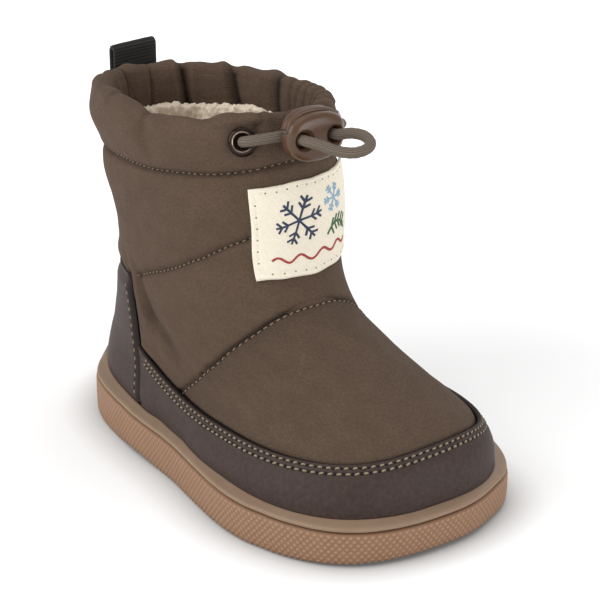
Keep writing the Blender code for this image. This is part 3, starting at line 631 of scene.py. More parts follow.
def fabric(angle, height):
    # How far the padded fabric stands off the smooth upper, and how much painted shade it gets, at each
    # place.
    angle, height = np.broadcast_arrays(np.asarray(angle, float), np.asarray(height, float))
    steps = slopes(angle, height)
    points = upperPoint(angle, height)
    out = 0.25 * np.sin(angle * 0.11 + height * 0.13) * np.sin(height * 0.21 - angle * 0.05)
    shade = np.zeros(angle.shape)
    for seam in seams.values():
        far = lineDistance(lambda a: seam["curve"](a)[..., 0], angle, height, steps)
        live = ease((seam["limit"] - np.abs(angle)) / 3.0)
        sag = seam["sag"] * np.exp(-np.abs(far) / seam["reach"])
        out = out - live * (seam["depth"] * bell(far / seam["narrow"]) + sag)
        # Painted shade along each seam's line and in a band of cloth below it.
        below = ease(-far / 0.8) * np.exp(np.minimum(far, 0.0) / 5.5)
        shade = shade + live * (seam["ink"] * bell(far / (0.65 * seam["narrow"])) + seam["under"] * below)
    for start, stop, width, depth in folds:
        far, u = foldDistance(points, onUpper(*start), onUpper(*stop))
        pull = depth * bell(far / width) * (0.15 + 0.85 * np.sin(np.pi * u))
        out = out - pull
        # Painted shade in the troughs of the folds.
        shade = shade + 0.16 * np.maximum(pull, 0.0)
    casing = lineDistance(lambda a: seams["casing"]["curve"](a)[..., 0], angle, height, steps)
    out = out + 0.1 * np.exp(-np.abs(casing) / 3.0) * np.sin(angle * 0.85 + 3.0 * np.sin(angle * 0.07))
    # Flat beneath the leather, and swelling above the mudguard and before the counter.
    over, outside = coverDistances(angle, height, steps)
    beyond = -0.3 + 1.6 * ease(over / 1.4) - 1.3 * ease((over - 3.0) / 10.0)
    before = -0.6 + 1.9 * ease(outside / 5.0) - 1.3 * ease((outside - 5.0) / 9.0)
    out = out + np.minimum(beyond, before)
    behind = ease((counterEdge(height) + 1.0 - outline(angle, sectionAt(height))[0]) / 4.0)
    out = out + 0.5 * behind * ease((height - 46.4) / 1.6) * (1.0 - ease((height - 51.0) / 8.0))
    # Painted shade in the gaps along the mudguard's top edge and the counter's front edge, less where the
    # cloth puffs over the counter's top.
    dark = np.maximum(bell(np.maximum(over, 0.0) / 0.4), bell(np.maximum(outside, 0.0) / 1.1))
    shade = shade + dark * (1.0 - behind * ease((height - 47.0) / 1.0))
    # Flat under the label.
    tall = labelPatch["top"] - labelPatch["bottom"]
    v = (height - labelPatch["bottom"]) / tall
    edge = labelLeft(v)
    inside = ease((edge + 2.0 - angle) / 3.0) * ease((angle - labelPatch["right"] + 2.0) / 3.0)
    v = v - (edge - angle) * labelPatch["tilt"] / labelPatch["spread"] / tall
    inside = inside * ease((v + 0.04) / 0.08) * ease((1.04 - v) / 0.08)
    out = out * (1.0 - inside)
    for seat in eyeletSeats.values():
        far = np.linalg.norm(points - seat, axis=-1)
        for depth, width in (eyelets["dent"], eyelets["sink"]):
            out = out - depth * bell(far / width)
        # Painted shadow round each eyelet.
        shade = shade + bell(far / eyelets["dark"])
    pulled, dark = gathers(angle, height)
    return out + pulled, shade + dark


def onFabric(angle, height, out=0.0):
    return onUpper(angle, height, fabric(angle, height)[0] + out)


# Padded shell: outside up to the rim, over it, down the facing and the inner wall, closed below. The
# facing is the widest section of the collar, set in by the casing's thickness at some heights.
shellSize = {"columns": 440, "wall": 2.6, "facingEnd": 91.2, "widest": 97.0,
             "heights": (84.0, 90.0, 97.0, 102.0, 105.2), "thickness": (6.6, 7.3, 8.0, 7.6, 6.2)}


def facingPoint(angle, height):
    inset = np.interp(height, shellSize["heights"], shellSize["thickness"])
    return spot(*outline(angle, sectionAt(shellSize["widest"] + 0.0 * inset), inset), height)


def makeShell():
    angle = evenAngles(sectionAt(75.0), shellSize["columns"] + 1)[:-1][None, :]
    outer = np.concatenate([np.linspace(14.5, 23.0, 8)[:-1], np.linspace(23.0, 56.0, 78)[:-1],
                            np.linspace(56.0, rim["start"], 84)])[:, None]
    turn = np.linspace(0.0, np.pi, 15)[1:-1, None, None]
    inner = np.linspace(rim["start"], shellSize["facingEnd"], 16)[:, None]
    wall = np.array([90.2, 84.0, 74.0, 62.0, 50.0, 40.0, 31.0, 24.0, 17.5])[:, None]
    outside = upperPoint(angle, outer)
    inside = facingPoint(angle, inner)
    middle = (outside[-1] + inside[0]) / 2
    over = middle + (outside[-1] - middle) * np.cos(turn) + np.array([0.0, 0.0, rim["rise"]]) * np.sin(turn)
    lower = onUpper(angle, wall, -shellSize["wall"])
    points = np.concatenate([outside, over, inside, lower])
    across = np.roll(points, -1, 1) - np.roll(points, 1, 1)
    normal = unit(np.cross(np.gradient(points, axis=0), across))
    normal[:len(outer)] = upperNormal(angle, outer)
    relief, shade = fabric(angle, outer)
    level = np.concatenate([rim["start"] + rim["arc"] * turn[:, 0] / np.pi,
                            2 * rim["start"] + rim["arc"] - inner])
    pulled, dark = gathers(angle, level)
    still = np.zeros((len(wall), angle.shape[1]))
    relief = np.concatenate([relief, pulled, still])[..., None]
    shade = np.concatenate([shade, dark, still])
    points = points + normal * relief
    low = sum(depth * bell((angle - middle) / width) for middle, width, depth in rim["dips"])
    points[..., 2] -= low * ease((points[..., 2] - 92.0) / 12.0)
    ring = np.concatenate([points, points[:, :1]], 1)
    ring = np.concatenate([ring, ring[:1]])
    around = np.linalg.norm(np.diff(ring, axis=1), axis=-1)
    u = np.concatenate([np.zeros((len(ring), 1)), np.cumsum(around, 1)], 1)
    u = u - u[:, [u.shape[1] // 2]]
    up = np.linalg.norm(np.diff(ring, axis=0), axis=-1).mean(1)
    v = np.broadcast_to(np.concatenate([[0.0], np.cumsum(up)])[:, None], u.shape)
    piece = gridPiece("padded_shell", points, "shell", "padded_nylon", closed=True,
                      uv=np.stack([u, v], -1), shade=shade)
    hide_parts("upper")


makeShell()
print("shell made")


def curls(u, v, pitch, height):
    # Soft tufts on a jittered grid: a round swelling about one middle in each cell.
    cells = rng.random((64, 64, 3))
    iu, iv = np.floor(u / pitch).astype(int), np.floor(v / pitch).astype(int)
    total = np.zeros(u.shape)
    for a in (-1, 0, 1):
        for b in (-1, 0, 1):
            jitter = cells[(iu + a) % 64, (iv + b) % 64]
            far = np.hypot(u / pitch - iu - a - jitter[..., 0], v / pitch - iv - b - jitter[..., 1])
            total = total + (0.5 + 0.8 * jitter[..., 2]) * bell(far / 0.5)
    return height * np.minimum(total, 1.6)


# Pile lining below the facing, its tufts as (pitch, height), and the pile-topped footbed.
lining = {"columns": 640, "top": 92.3, "farRise": 1.7, "tufts": ((3.4, 0.9), (1.5, 0.55)), "inset": 4.4,
          "backInset": 3.0, "mmPerDegree": 0.66}
footbed = {"columns": 180, "middle": 82.0, "stretch": 0.62, "inset": 4.9, "lift": 0.3, "tufts": (2.6, 0.8)}


def makeLining():
    angle = np.linspace(-180.0, 180.0, lining["columns"] + 1)[:-1][None, :]
    height = np.concatenate([np.linspace(lining["top"], 72.0, 54), np.linspace(70.0, 18.0, 14)])[:, None]
    height = height + lining["farRise"] * bell((angle + 102.0) / 26.0) * ease((height - 80.0) / 12.0)
    near = ease((height - 83.0) / 7.0)[..., None]
    face = (1.0 - near) * onUpper(angle, height, -lining["inset"]) + near * facingPoint(angle, height)
    around = angle * lining["mmPerDegree"]
    tufts = sum(curls(around, height, pitch, rise) for pitch, rise in lining["tufts"])
    edge = 1.6 * ease((height[0] - height) / 1.3) - 0.3
    inward = -upperNormal(angle, np.minimum(height, 80.0))
    face = face + inward * (edge + tufts)[..., None]
    face[..., 2] += 0.9 * tufts * ease((height - 88.0) / 4.0)
    back = onUpper(angle, np.linspace(19.0, 88.0, 8)[:, None], -lining["backInset"])
    gridPiece("pile_lining", np.concatenate([face, back]), "pile", "padded_nylon", closed=True)


def makeFootbed():
    angle = evenAngles(soleSection, footbed["columns"] + 1)[:-1]
    station = outline(angle, soleSection)[0]
    floor = grooveAt(station) + boot["floorAbove"] + footbed["lift"]
    edge = onUpper(angle, floor, -footbed["inset"])
    middle = spot(footbed["middle"] + footbed["stretch"] * (station - footbed["middle"]), 0.0, floor)
    # Rings from the middle below, round the edge and in again on top: share of the way out, and lift.
    below, above = [0.03, 0.35, 0.7, 0.96], [0.96, 0.86, 0.72, 0.58, 0.44, 0.3, 0.16, 0.03]
    share = np.array(below + [1.0, 1.0] + above)[:, None, None]
    lift = np.array([0.0] * len(below) + [0.6, 2.4] + [3.0] * len(above))[:, None, None]
    points = middle + share * (edge - middle) + lift * np.array([0.0, 0.0, 1.0])
    points[6:-1, :, 2] += curls(points[6:-1, :, 0], points[6:-1, :, 1], *footbed["tufts"])
    piece = gridPiece("pile_footbed", points, "pile", "footbed_felt")
    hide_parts("insole")


makeLining()
makeFootbed()
print("lining made")


# Small repeated shapes are gathered in bags of points and faces and joined to one mesh each.
def newBag():
    return {"points": [], "faces": [], "count": 0}


def store(bag, points, faces):
    size = points.shape[1]
    for k in range(len(points)):
        start = bag["count"] + k * size
        bag["faces"] += [[i + start for i in face] for face in faces]
    bag["count"] += points.shape[0] * size
    bag["points"].append(points.reshape(-1, 3))


def addBag(name, bag, material, slot):
    addPiece(name, np.concatenate(bag["points"]), bag["faces"], material, slot)


# Foxing: its ledge's height above the groove, its wall as (inset, lift) and its top as (lift, out).
foxing = {"columns": 520, "rows": 30, "rim": 2.1, "lip": 0.15,
          "wall": ((1.6, 0.15), (0.75, 0.15), (0.25, 0.45), (0.15, 1.0), (0.4, 1.5)),
          "top": ((-0.25, 2.4), (0.05, 1.6), (0.1, 0.9))}

# Leather: distances of the stitch rows from the edge, its rolled edge, the stitch grooves, and the gap
# between mudguard and counter.
leather = {"rows": (1.1, 2.75), "counterRow": 2.0, "edgeRoll": 0.3, "groove": 0.22, "gap": 2.1,
           "columns": 560}


def overlayFoot(angle):
    station = outline(angle, sectionAt(15.0))[0]
    return grooveAt(station) + foxing["rim"] - 0.6


def angleAt(height, station):
    # The angle on the boot's right where the upper at a height has a station, by halving.
    low, high = np.full(np.shape(height), 20.0), np.full(np.shape(height), 179.0)
    for _ in range(40):
        middle = (low + high) / 2
        ahead = outline(middle, sectionAt(height))[0] > station
        low, high = np.where(ahead, middle, low), np.where(ahead, high, middle)
    return (low + high) / 2


def leatherOut(far, rows, drop, width):
    # Relief by the distance from the edge: a rolled edge, grooves along the stitches and a cut flank.
    out = overlay["out"] - leather["edgeRoll"] + leather["edgeRoll"] * bell((far - 0.55) / 0.5)
    out = out - sum(leather["groove"] * bell((far - row) / 0.5) for row in rows)
    return out - drop * np.maximum(0.0, 1.0 - far / width) ** 2


def makeMudguard():
    # Follows the upper: outer face, rolled edge and inner face as one ring of rows, its ends cut along
    # the counter's edge.
    across = np.linspace(-1.0, 1.0, leather["columns"])[None, :]
    u = np.concatenate([np.linspace(0.0, 0.7, 10)[:-1], np.linspace(0.7, 1.0, 26)])[:, None]
    outer = len(u)
    u = np.concatenate([u, np.linspace(1.0, 0.0, 6)[:, None]])
    middle = float(angleAt(np.array(20.0), counterEdge(20.0) + leather["gap"]))
    endHeight = overlayFoot(middle) + (mudguardTop(middle) - overlayFoot(middle)) * u
    end = angleAt(endHeight, counterEdge(endHeight) + leather["gap"])
    angle = across * (middle + (end - middle) * np.abs(across) ** 8)
    height = overlayFoot(angle) + (mudguardTop(angle) - overlayFoot(angle)) * u
    far = -lineDistance(mudguardTop, angle, height, slopes(angle, height))
    out = leatherOut(far, leather["rows"], 0.85, 0.5)
    out[outer:] = overlay["inner"] - 0.3
    # Painted shade along the cut edge, for the dark gap beside it.
    shade = 0.9 * bell(far / 0.25)
    points = np.swapaxes(onUpper(angle, height, out), 0, 1)
    piece = gridPiece("leather_mudguard", points, "leather", "synthetic_leather",
                      shade=np.swapaxes(shade, 0, 1))
    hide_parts("mudguard")


def counterDistance(angle, height):
    station = outline(angle, sectionAt(height))[0]
    behind = (counterEdge(height) - station) * overlay["edgeSlant"]
    return np.minimum(behind, overlay["counterTop"] - height + 0.4)


def makeCounter():
    across = np.linspace(-1.0, 1.0, 260)[None, :]
    u = np.linspace(0.0, 1.0, 64)[:, None]
    low = overlayFoot(180.0)
    height = low + (overlay["counterTop"] - low) * u
    edge = angleAt(height, counterEdge(height))
    angle = 180.0 + across * (180.0 - edge)
    far = counterDistance(angle, height)
    out = leatherOut(far, (leather["counterRow"],), 1.6, 0.6) - 1.1 * ease((height - 43.5) / 4.0)
    face, back = onUpper(angle, height, out), onUpper(angle, height, -0.1)
    points = np.concatenate([face, back[:, ::-1]], 1)
    # Painted shade along the front edge, for the dark gap beside it, and over the whole back face.
    shade = 0.95 * np.concatenate([bell(far / 0.5), np.ones(far.shape)], 1)
    piece = gridPiece("leather_counter", points, "leather", "synthetic_leather", shade=shade)
    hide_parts("heel_counter")


makeMudguard()
makeCounter()
print("leather made")


# How far the sole's right edge stands out of its smooth outline, by station: drawn in round the back of
# the heel, full beside it, waisted, and full again at the ball.
soleTrim = smoothCurve([
    (0, -2.0), (8, -2.4), (15, -1.6), (22, 0.0), (30, 1.5), (42, 2.0), (52, 2.1), (61, 2.0), (68, 1.2),
    (75, -0.1), (81, -1.1), (88, -1.5), (95, -1.2), (102, -0.6), (108, 0.0), (115, 0.7), (122, 1.0),
    (130, 0.6), (138, -0.3), (147, -0.4), (154, 0.0), (160, 0.3), (165, 0.0)])


def solePoint(angle, inset, lift):
    # Drawn in beside the toe on the boot's left, where the upper stands almost over the sole's edge.
    inset = inset + 1.9 * bell((angle + 27.0) / 18.0) + 1.0 * bell((angle + 58.0) / 18.0)
    trim = soleTrim(outline(angle, soleSection)[0])[..., 0]
    inset = inset - trim * rightSide(angle)
    station, side = outline(angle, soleSection, inset)
    return spot(station, side, lift(station))


def soleRows(angle, rows):
    # Rings of the sole's outline: what each is measured from, its inset and its lift.
    return [solePoint(angle, inset, lambda s: base(s) + lift) for base, inset, lift in rows]


# Foxing band: its ledge round the upper and the plate that closes the boot below.
def makeFoxing():
    angle = evenAngles(soleSection, foxing["columns"] + 1)[:-1]
    groove = grooveAt(outline(angle, soleSection)[0])
    middle = np.mean(solePoint(angle, 12.0, grooveAt), 0)
    centre = np.stack([0.0 * groove + middle[0], 0.0 * groove + middle[1], groove + foxing["lip"]], -1)
    band = soleRows(angle, [(grooveAt, inset, lift) for inset, lift in foxing["wall"]])
    band += [onUpper(angle, groove + foxing["rim"] + lift, out) for lift, out in foxing["top"]]
    band.append(onUpper(angle, groove + boot["floorAbove"], 0.3))
    band = evenRows(roundOff(np.stack(band), 2), foxing["rows"])
    inner = onUpper(angle, groove + boot["floorAbove"], -5.0)
    low = soleRows(angle, [(grooveAt, 9.0, foxing["lip"])])[0]
    top = centre + np.array([0.0, 0.0, boot["floorAbove"] - foxing["lip"]])
    small = [0.03 * low + 0.97 * centre, low]
    big = [inner, 0.03 * inner + 0.97 * top]
    points = np.concatenate([small, band, big])
    piece = gridPiece("foxing_band", points, "foxing", "smooth_rubber")
    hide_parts("midsole")


# Gum outsole: staggered dots on its side wall, a recess below and hexagonal lugs.
# The lugs stand in rows of (station, count).
gum = {"dotPitch": 1.9, "rowPitch": 1.06, "dotRadius": 0.56, "dotRise": 0.26, "dotStart": 1.3, "samples": 6,
       "wallRows": 38, "margin": 7.0, "depth": 2.4, "lugSize": 10.0, "lugPitch": 13.2,
       "lugRows": ((17, 3), (30, 3), (43, 3), (85, 4), (98, 5), (111, 5), (124, 5), (137, 4)),
       "wall": ((grooveAt, 0.8, -0.15), (grooveAt, 0.12, -0.5), (grooveAt, 0.0, -1.4), (groundAt, 0.05, 2.4),
                (groundAt, 0.3, 0.7), (groundAt, 0.8, 0.0), (groundAt, 2.0, 0.0))}


def makeOutsole():
    fine = solePoint(np.linspace(-180.0, 180.0, 4001), 0.0, grooveAt)
    girth = np.linalg.norm(np.diff(fine[:, :2], axis=0), axis=-1).sum()
    dots = round(girth / gum["dotPitch"])
    angle = evenAngles(soleSection, dots * gum["samples"] + 1)[:-1]
    wall = evenRows(roundOff(np.stack(soleRows(angle, gum["wall"])), 2), gum["wallRows"])
    run = runAlong(wall)
    u = np.arange(len(angle)) / gum["samples"]
    row = np.round((run - gum["dotStart"]) / gum["rowPitch"])
    off = u - 0.5 * (row % 2)
    near = np.hypot((off - np.round(off)) * gum["dotPitch"], run - gum["dotStart"] - row * gum["rowPitch"])
    rise = gum["dotRise"] * np.maximum(0.0, 1.0 - (near / gum["dotRadius"]) ** 2) * (row >= 0)
    rise = rise * ease((run[-1] - run) / 1.0)
    across = np.roll(wall, -1, 1) - np.roll(wall, 1, 1)
    normal = unit(np.cross(across, np.gradient(wall, axis=0)))
    outward = (wall - wall.mean(1, keepdims=True))[:, :, :2]
    normal = normal * np.sign(np.sum(normal[:, :, :2] * outward))
    wall = wall + normal * rise[..., None]
    wall[..., 2] = np.maximum(wall[..., 2], 0.0)
    middle, upward = np.array([0.0, 2.0, 0.0]), np.array([0.0, 0.0, 1.0])
    high = soleRows(angle, [(grooveAt, 9.0, -0.15)])[0]
    highMiddle = middle + upward * high[:, 2:]
    foot = solePoint(angle, gum["margin"], groundAt)
    deep = foot + upward * gum["depth"]
    deepMiddle = middle + upward * deep[:, 2:]
    points = np.concatenate([[0.03 * high + 0.97 * highMiddle, high], wall,
                             [foot, deep, 0.5 * deep + 0.5 * deepMiddle, 0.03 * deep + 0.97 * deepMiddle]])
    tips = np.zeros(points.shape[:2])
    tips[2:2 + len(rise)] = rise / gum["dotRise"]
    piece = gridPiece("gum_outsole", points, "gum", "gum_rubber", shade=tips)
    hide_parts("outsole")


def makeLugs():
    rows = gum["lugRows"]
    station = np.concatenate([np.full(n, float(s)) for s, n in rows])
    across = np.concatenate([np.arange(n) - (n - 1) / 2.0 for _, n in rows]) * gum["lugPitch"]
    edges = np.array(outline(np.arange(-180.0, 180.0), soleSection))
    sides = [edges[:, keep] for keep in (edges[1] > 0, edges[1] < 0)]
    middle = sum(side[1, np.abs(side[0][None] - station[:, None]).argmin(1)] for side in sides) / 2.0
    turn = np.radians(60.0 * np.arange(6) + 30.0)
    ring = np.stack([station[:, None] + np.sin(turn) * gum["lugSize"] / 2,
                     (middle + across)[:, None] + np.cos(turn) * gum["lugSize"] / 2])
    hub = np.stack([station, middle + across])[..., None]
    # Rings of each lug from its root down to its worn edge: share of the full size and height.
    rings = []
    for share, lift in ((1.0, gum["depth"] + 0.3), (1.0, 0.35), (0.93, 0.0)):
        around = hub + share * (ring - hub)
        rings.append(spot(around[0], around[1], groundAt(around[0]) + lift))
    bag = newBag()
    store(bag, np.stack(rings, 1).reshape(len(station), -1, 3), tubeFaces(3, 6, -1))
    addBag("gum_lugs", bag, "gum", "gum_rubber")


makeFoxing()
makeOutsole()
makeLugs()
print("sole made")


# Sewing: thread stitches as little capsules, with a dark disc of painted shade for the needle hole between
# each two, and the pitch of the stitches by the place they are in.
sewing = {"width": 0.58, "hole": 0.5, "reach": 0.3, "mudguard": 2.35, "counter": 2.5, "seam": 2.1,
          "label": 3.2}
bags = {kind: newBag() for kind in ("ochre", "brown", "cream", "hole", "pinch", "dent")}


def stitchTemplate():
    # Five rings of six points along x, thinner and lower towards both ends.
    x = np.array([-1.0, -0.6, 0.0, 0.6, 1.0])[:, None]
    turn = (np.arange(6) * np.pi / 3)[None, :]
    fat = np.array([0.5, 0.9, 1.0, 0.9, 0.5])[:, None]
    lift = fat * np.sin(turn) * 0.8 + 0.9 * (1 - x * x) - 0.6
    ring = np.stack(np.broadcast_arrays(x, fat * np.cos(turn), lift), -1)
    return ring.reshape(-1, 3), tubeFaces(5, 6)


def sew(line, normals, pitch, thread="ochre", hole="hole", length=1.15, size=1.0):
    # Stitches at even steps along a line of surface points, and a disc of painted shade for the needle hole
    # between each two.
    run = runAlong(line)
    count = int(run[-1] / pitch)

    def read(values, where):
        return np.stack([np.interp(where, run, values[:, k]) for k in range(3)], -1)

    def frameAt(step):
        where = step * run[-1] / count
        up = unit(read(normals, where))
        along = unit(read(line, where + sewing["reach"]) - read(line, where - sewing["reach"]))
        return read(line, where)[:, None], along, np.cross(up, along), up[:, None]

    centre, along, side, up = frameAt(np.arange(count) + 0.5)
    tilt = np.radians(rng.normal(9.0, 5.0, count))[:, None]
    along, side = along * np.cos(tilt) + side * np.sin(tilt), side * np.cos(tilt) - along * np.sin(tilt)
    shape, faces = stitchTemplate()
    shape = shape * np.array([length, size * sewing["width"], size * sewing["width"]]) / 2
    flat = shape[:, :1] * along[:, None] + shape[:, 1:2] * side[:, None]
    store(bags[thread], centre + flat + shape[:, 2:] * up, faces)
    centre, along, side, up = frameAt(np.arange(1, count))
    turn = (np.arange(6) * np.pi / 3)[:, None]
    spokes = np.cos(turn) * along[:, None] + np.sin(turn) * side[:, None]
    ring = centre + size * sewing["hole"] * spokes + 0.06 * up
    store(bags[hole], np.concatenate([ring - 0.5 * up, ring], 1), tubeFaces(2, 6))


def sewOverlays():
    seat = overlay["out"] - leather["edgeRoll"] - 0.1
    angle = np.linspace(-1.0, 1.0, 2400) * (float(angleAt(np.array(27.0), counterEdge(27.0))) - 5.0)
    for row in leather["rows"]:
        turn, height = beside(angle, mudguardTop(angle), row)
        sew(onUpper(turn, height, seat), upperNormal(turn, height), sewing["mudguard"], length=1.4)
    height = np.linspace(15.5, 46.0, 500)
    angle = angleAt(height, counterEdge(height) - leather["counterRow"] / overlay["edgeSlant"])
    for sign in (1.0, -1.0):
        sew(onUpper(sign * angle, height, seat), upperNormal(sign * angle, height), sewing["counter"])


def sewSeams():
    # Each row runs along its seam, moved below it across the surface.
    for seam in seams.values():
        reach = min(seam["limit"] - 0.5, 180.0)
        spans = [(-reach, reach)]
        if "stops" in seam:
            left, right = seam["stops"]
            spans = [(right, reach), (-reach, left)]
        for start, stop in spans:
            angle = np.linspace(start, stop, 2600)
            height = seam["curve"](angle)[..., 0]
            angle, height = beside(angle, height, seam["below"])
            sew(onFabric(angle, height, 0.1), upperNormal(angle, height), sewing["seam"], "brown", "pinch",
                1.2, 0.65)


sewOverlays()
sewSeams()


# The label is a wavy cream patch with simple figures of its own.
def labelPoint(u, v, out=0.0):
    # u runs from left to right and v from bottom to top, 0 to 1.
    left = labelLeft(v)
    angle = left + (labelPatch["right"] - left) * u
    height = labelPatch["bottom"] + (labelPatch["top"] - labelPatch["bottom"]) * v
    height = height + labelPatch["tilt"] * u + 0.25 * np.sin(u * 9.0 + 4.0 * v) + 0.15 * np.sin(u * 23.0)
    angle = angle + 0.4 * np.sin(v * 8.0 + 3.0 * u)
    wave = 0.18 * np.sin(u * 11.0 + v * 3.0) * np.sin(v * 7.0 + 1.0)
    return onUpper(angle, height, 0.75 + wave + out), upperNormal(angle, height)


def makeLabel():
    wide, tall = labelPatch["size"]
    u, v = np.broadcast_arrays(np.linspace(0.0, 1.0, 90)[None, :], np.linspace(0.0, 1.0, 64)[:, None])
    inward = np.minimum(np.minimum(u, 1 - u) * wide, np.minimum(v, 1 - v) * tall)
    front = labelPoint(u, v, 0.28 * ease(inward / 0.8) - 0.2 * bell((inward - 1.5) / 0.45))[0]
    back = labelPoint(u, v, -0.7)[0]
    points = np.concatenate([front, back[:, ::-1]], 1)
    flatUv = np.stack([np.concatenate([u, u[:, ::-1]], 1) * wide, np.concatenate([v, v], 1) * tall], -1)
    flatUv = np.concatenate([flatUv, flatUv[:, :1]], 1)
    gridPiece("sewn_label", points, "label", "padded_nylon", uv=flatUv)
    t = np.linspace(0.0, 1.0, 200)
    across, up = 0.042 + 0.916 * t, 0.055 + 0.89 * t
    for line in ((across, 0 * t + up[0]), (across, 0 * t + up[-1]), (0 * t + across[0], up),
                 (0 * t + across[-1], up)):
        sew(*labelPoint(*line, 0.1), sewing["label"], "cream", "dent", 1.6, 0.6)


def ribbon(name, lines, width, material):
    # Flat embroidered strokes on the label: each line of (u, v) points becomes a strip of thread.
    size, bag = labelPatch["size"], newBag()
    for line in lines:
        line = np.asarray(line, float)
        line = evenRows(line, max(6, int(np.linalg.norm(np.diff(line, axis=0) * size, axis=-1).sum() / 0.6)))
        along = np.gradient(line * size, axis=0)
        side = unit(np.stack([-along[:, 1], along[:, 0]], -1)) * width / 2 / size
        section = ((-1, 0.1), (-0.7, 0.42), (0.7, 0.42), (1, 0.1))
        rows = [labelPoint(*(line + k * side).T, lift)[0] for k, lift in section]
        store(bag, np.stack(rows, 1).reshape(1, -1, 3), tubeFaces(len(line), len(section), -1))
    addBag(name, bag, material, "padded_nylon")


def makeFigures():
    def flake(u, v, size):
        lines = []
        for turn in np.radians(60.0 * np.arange(6) + 8.0):
            tip = np.array([np.cos(turn), np.sin(turn)])
            lines.append([tip * 0.0, tip * size])
            for k in (0.5, 0.75):
                for way in (-0.9, 0.9):
                    arm = np.array([np.cos(turn + way), np.sin(turn + way)])
                    lines.append([tip * k * size, tip * k * size + arm * size * 0.3])
        return [np.array([u, v]) + np.array(line) / labelPatch["size"] for line in lines]

    ribbon("label_flake_navy", flake(0.36, 0.6, 6.6), 0.75, "navy")
    ribbon("label_flake_sky", flake(0.68, 0.72, 4.0), 0.6, "sky")
    t = np.linspace(0.0, 1.0, 40)
    ribbon("label_wave_red", [np.stack([0.14 + 0.72 * t, 0.2 + 0.035 * np.sin(t * 25.0)], -1)], 0.8, "red")
    stem = np.stack([0.6 + 0.24 * t, 0.34 + 0.1 * np.sin(t * 3.0)], -1)
    leaves = [stem] + [[stem[k], stem[k] + [0.03, way]] for k in (8, 15, 22, 29, 35) for way in (0.09, -0.08)]
    ribbon("label_sprig_green", leaves, 0.8, "green")


makeLabel()
makeFigures()
for kind, bag in bags.items():
    addBag(kind + "_stitching", bag, kind, "padded_nylon")
print("sewing and label made")


# Webbing pull loop: a flat stadium ring, ribbed across.
loop = {"width": 15.5, "thickness": 1.2, "depth": 3.8, "bottom": 93.0, "top": 112.3, "side": -1.1,
        "rib": 1.05, "ribRise": 0.2, "lean": 0.8, "seat": 97.0, "steps": 260}


def makeLoop():
    half = loop["depth"] / 2
    back = outline(np.array(180.0), sectionAt(loop["seat"]))[0] - 0.3 - half
    turn = np.linspace(0.0, np.pi, 40)
    low, high = loop["bottom"] + half, loop["top"] - half
    climb = np.linspace(low, high, 60)[1:-1]
    side = np.concatenate([back + half * np.cos(turn), back - half + 0 * climb, back - half * np.cos(turn),
                           back + half + 0 * climb])
    up = np.concatenate([high + half * np.sin(turn), climb[::-1], low - half * np.sin(turn), climb])
    path = np.stack([side, up], -1)
    path = evenRows(np.concatenate([path, path[:1]]), loop["steps"])[:-1]
    along = unit(np.roll(path, -1, 0) - np.roll(path, 1, 0))
    out = np.stack([along[:, 1], -along[:, 0]], -1)
    out = out * np.sign(np.sum(out * (path - path.mean(0)), -1).sum())
    run = np.arange(len(path)) * np.linalg.norm(np.diff(path, axis=0), axis=-1).mean()
    rib = loop["ribRise"] * np.cos(2 * np.pi * run / loop["rib"])
    # Across the band: share of the half width and how far its edge is rounded off.
    band = ((-1.0, 0.35), (-0.97, 0.08), (-0.6, 0.0), (0.0, 0.0), (0.6, 0.0), (0.97, 0.08), (1.0, 0.35))
    points = [(k, rib * (e < 0.1) - e) for k, e in band]
    points += [(k, -loop["thickness"] - h) for k, h in points[::-1]]
    lean = loop["lean"] * ease((path[:, 1] - loop["seat"]) / 8.0)
    rings = [spot(path[:, 0] + out[:, 0] * h, loop["side"] + k * loop["width"] / 2,
                  path[:, 1] + out[:, 1] * h - lean * k) for k, h in points]
    piece = gridPiece("webbing_loop", np.stack(rings, 1), "webbing", "webbing", closed=True)
    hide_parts("pull_loop")


def makeEyelets():
    # A lathe profile of a rolled metal ring: radius and height over the seat.
    profile = np.array([(2.25, -1.6), (2.2, 0.1), (2.45, 0.8), (3.0, 1.05), (3.6, 0.9), (4.05, 0.5),
                        (4.2, 0.0), (3.9, -0.35), (2.7, -0.4), (2.55, -1.6)])
    profile = roundOff(profile, 2, closed=True)
    turn = np.linspace(0.0, 2 * np.pi, 49)[:-1]
    # Painted highlight along the inner lip.
    lipHighlight = bell((profile[:, :1] - 2.5) / 0.4) * ease(profile[:, 1:] / 0.5) + 0.0 * turn
    for key in ("right", "left"):
        seat, axis = eyeletSeats[key], upperNormal(eyelets[key], eyelets["height"])
        flat = unit(np.cross(np.array([0.0, 0.0, 1.0]), axis))
        tall = np.cross(axis, flat)
        spoke = np.cos(turn)[:, None] * flat + np.sin(turn)[:, None] * tall
        points = seat + profile[:, None, :1] * spoke + profile[:, None, 1:] * axis
        piece = gridPiece("metal_eyelet_" + key, points, "metal", "gunmetal", closed=True, shade=lipHighlight)
        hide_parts("eyelet_" + key)


def arch(turn, wide, tall):
    # Half a superellipse, rounder than a circle at the shoulders.
    c, s = np.cos(turn), np.sin(turn)
    power = 2.0 / lock["square"]
    return wide * np.sign(c) * np.abs(c) ** power, tall * np.sign(s) * np.abs(s) ** power


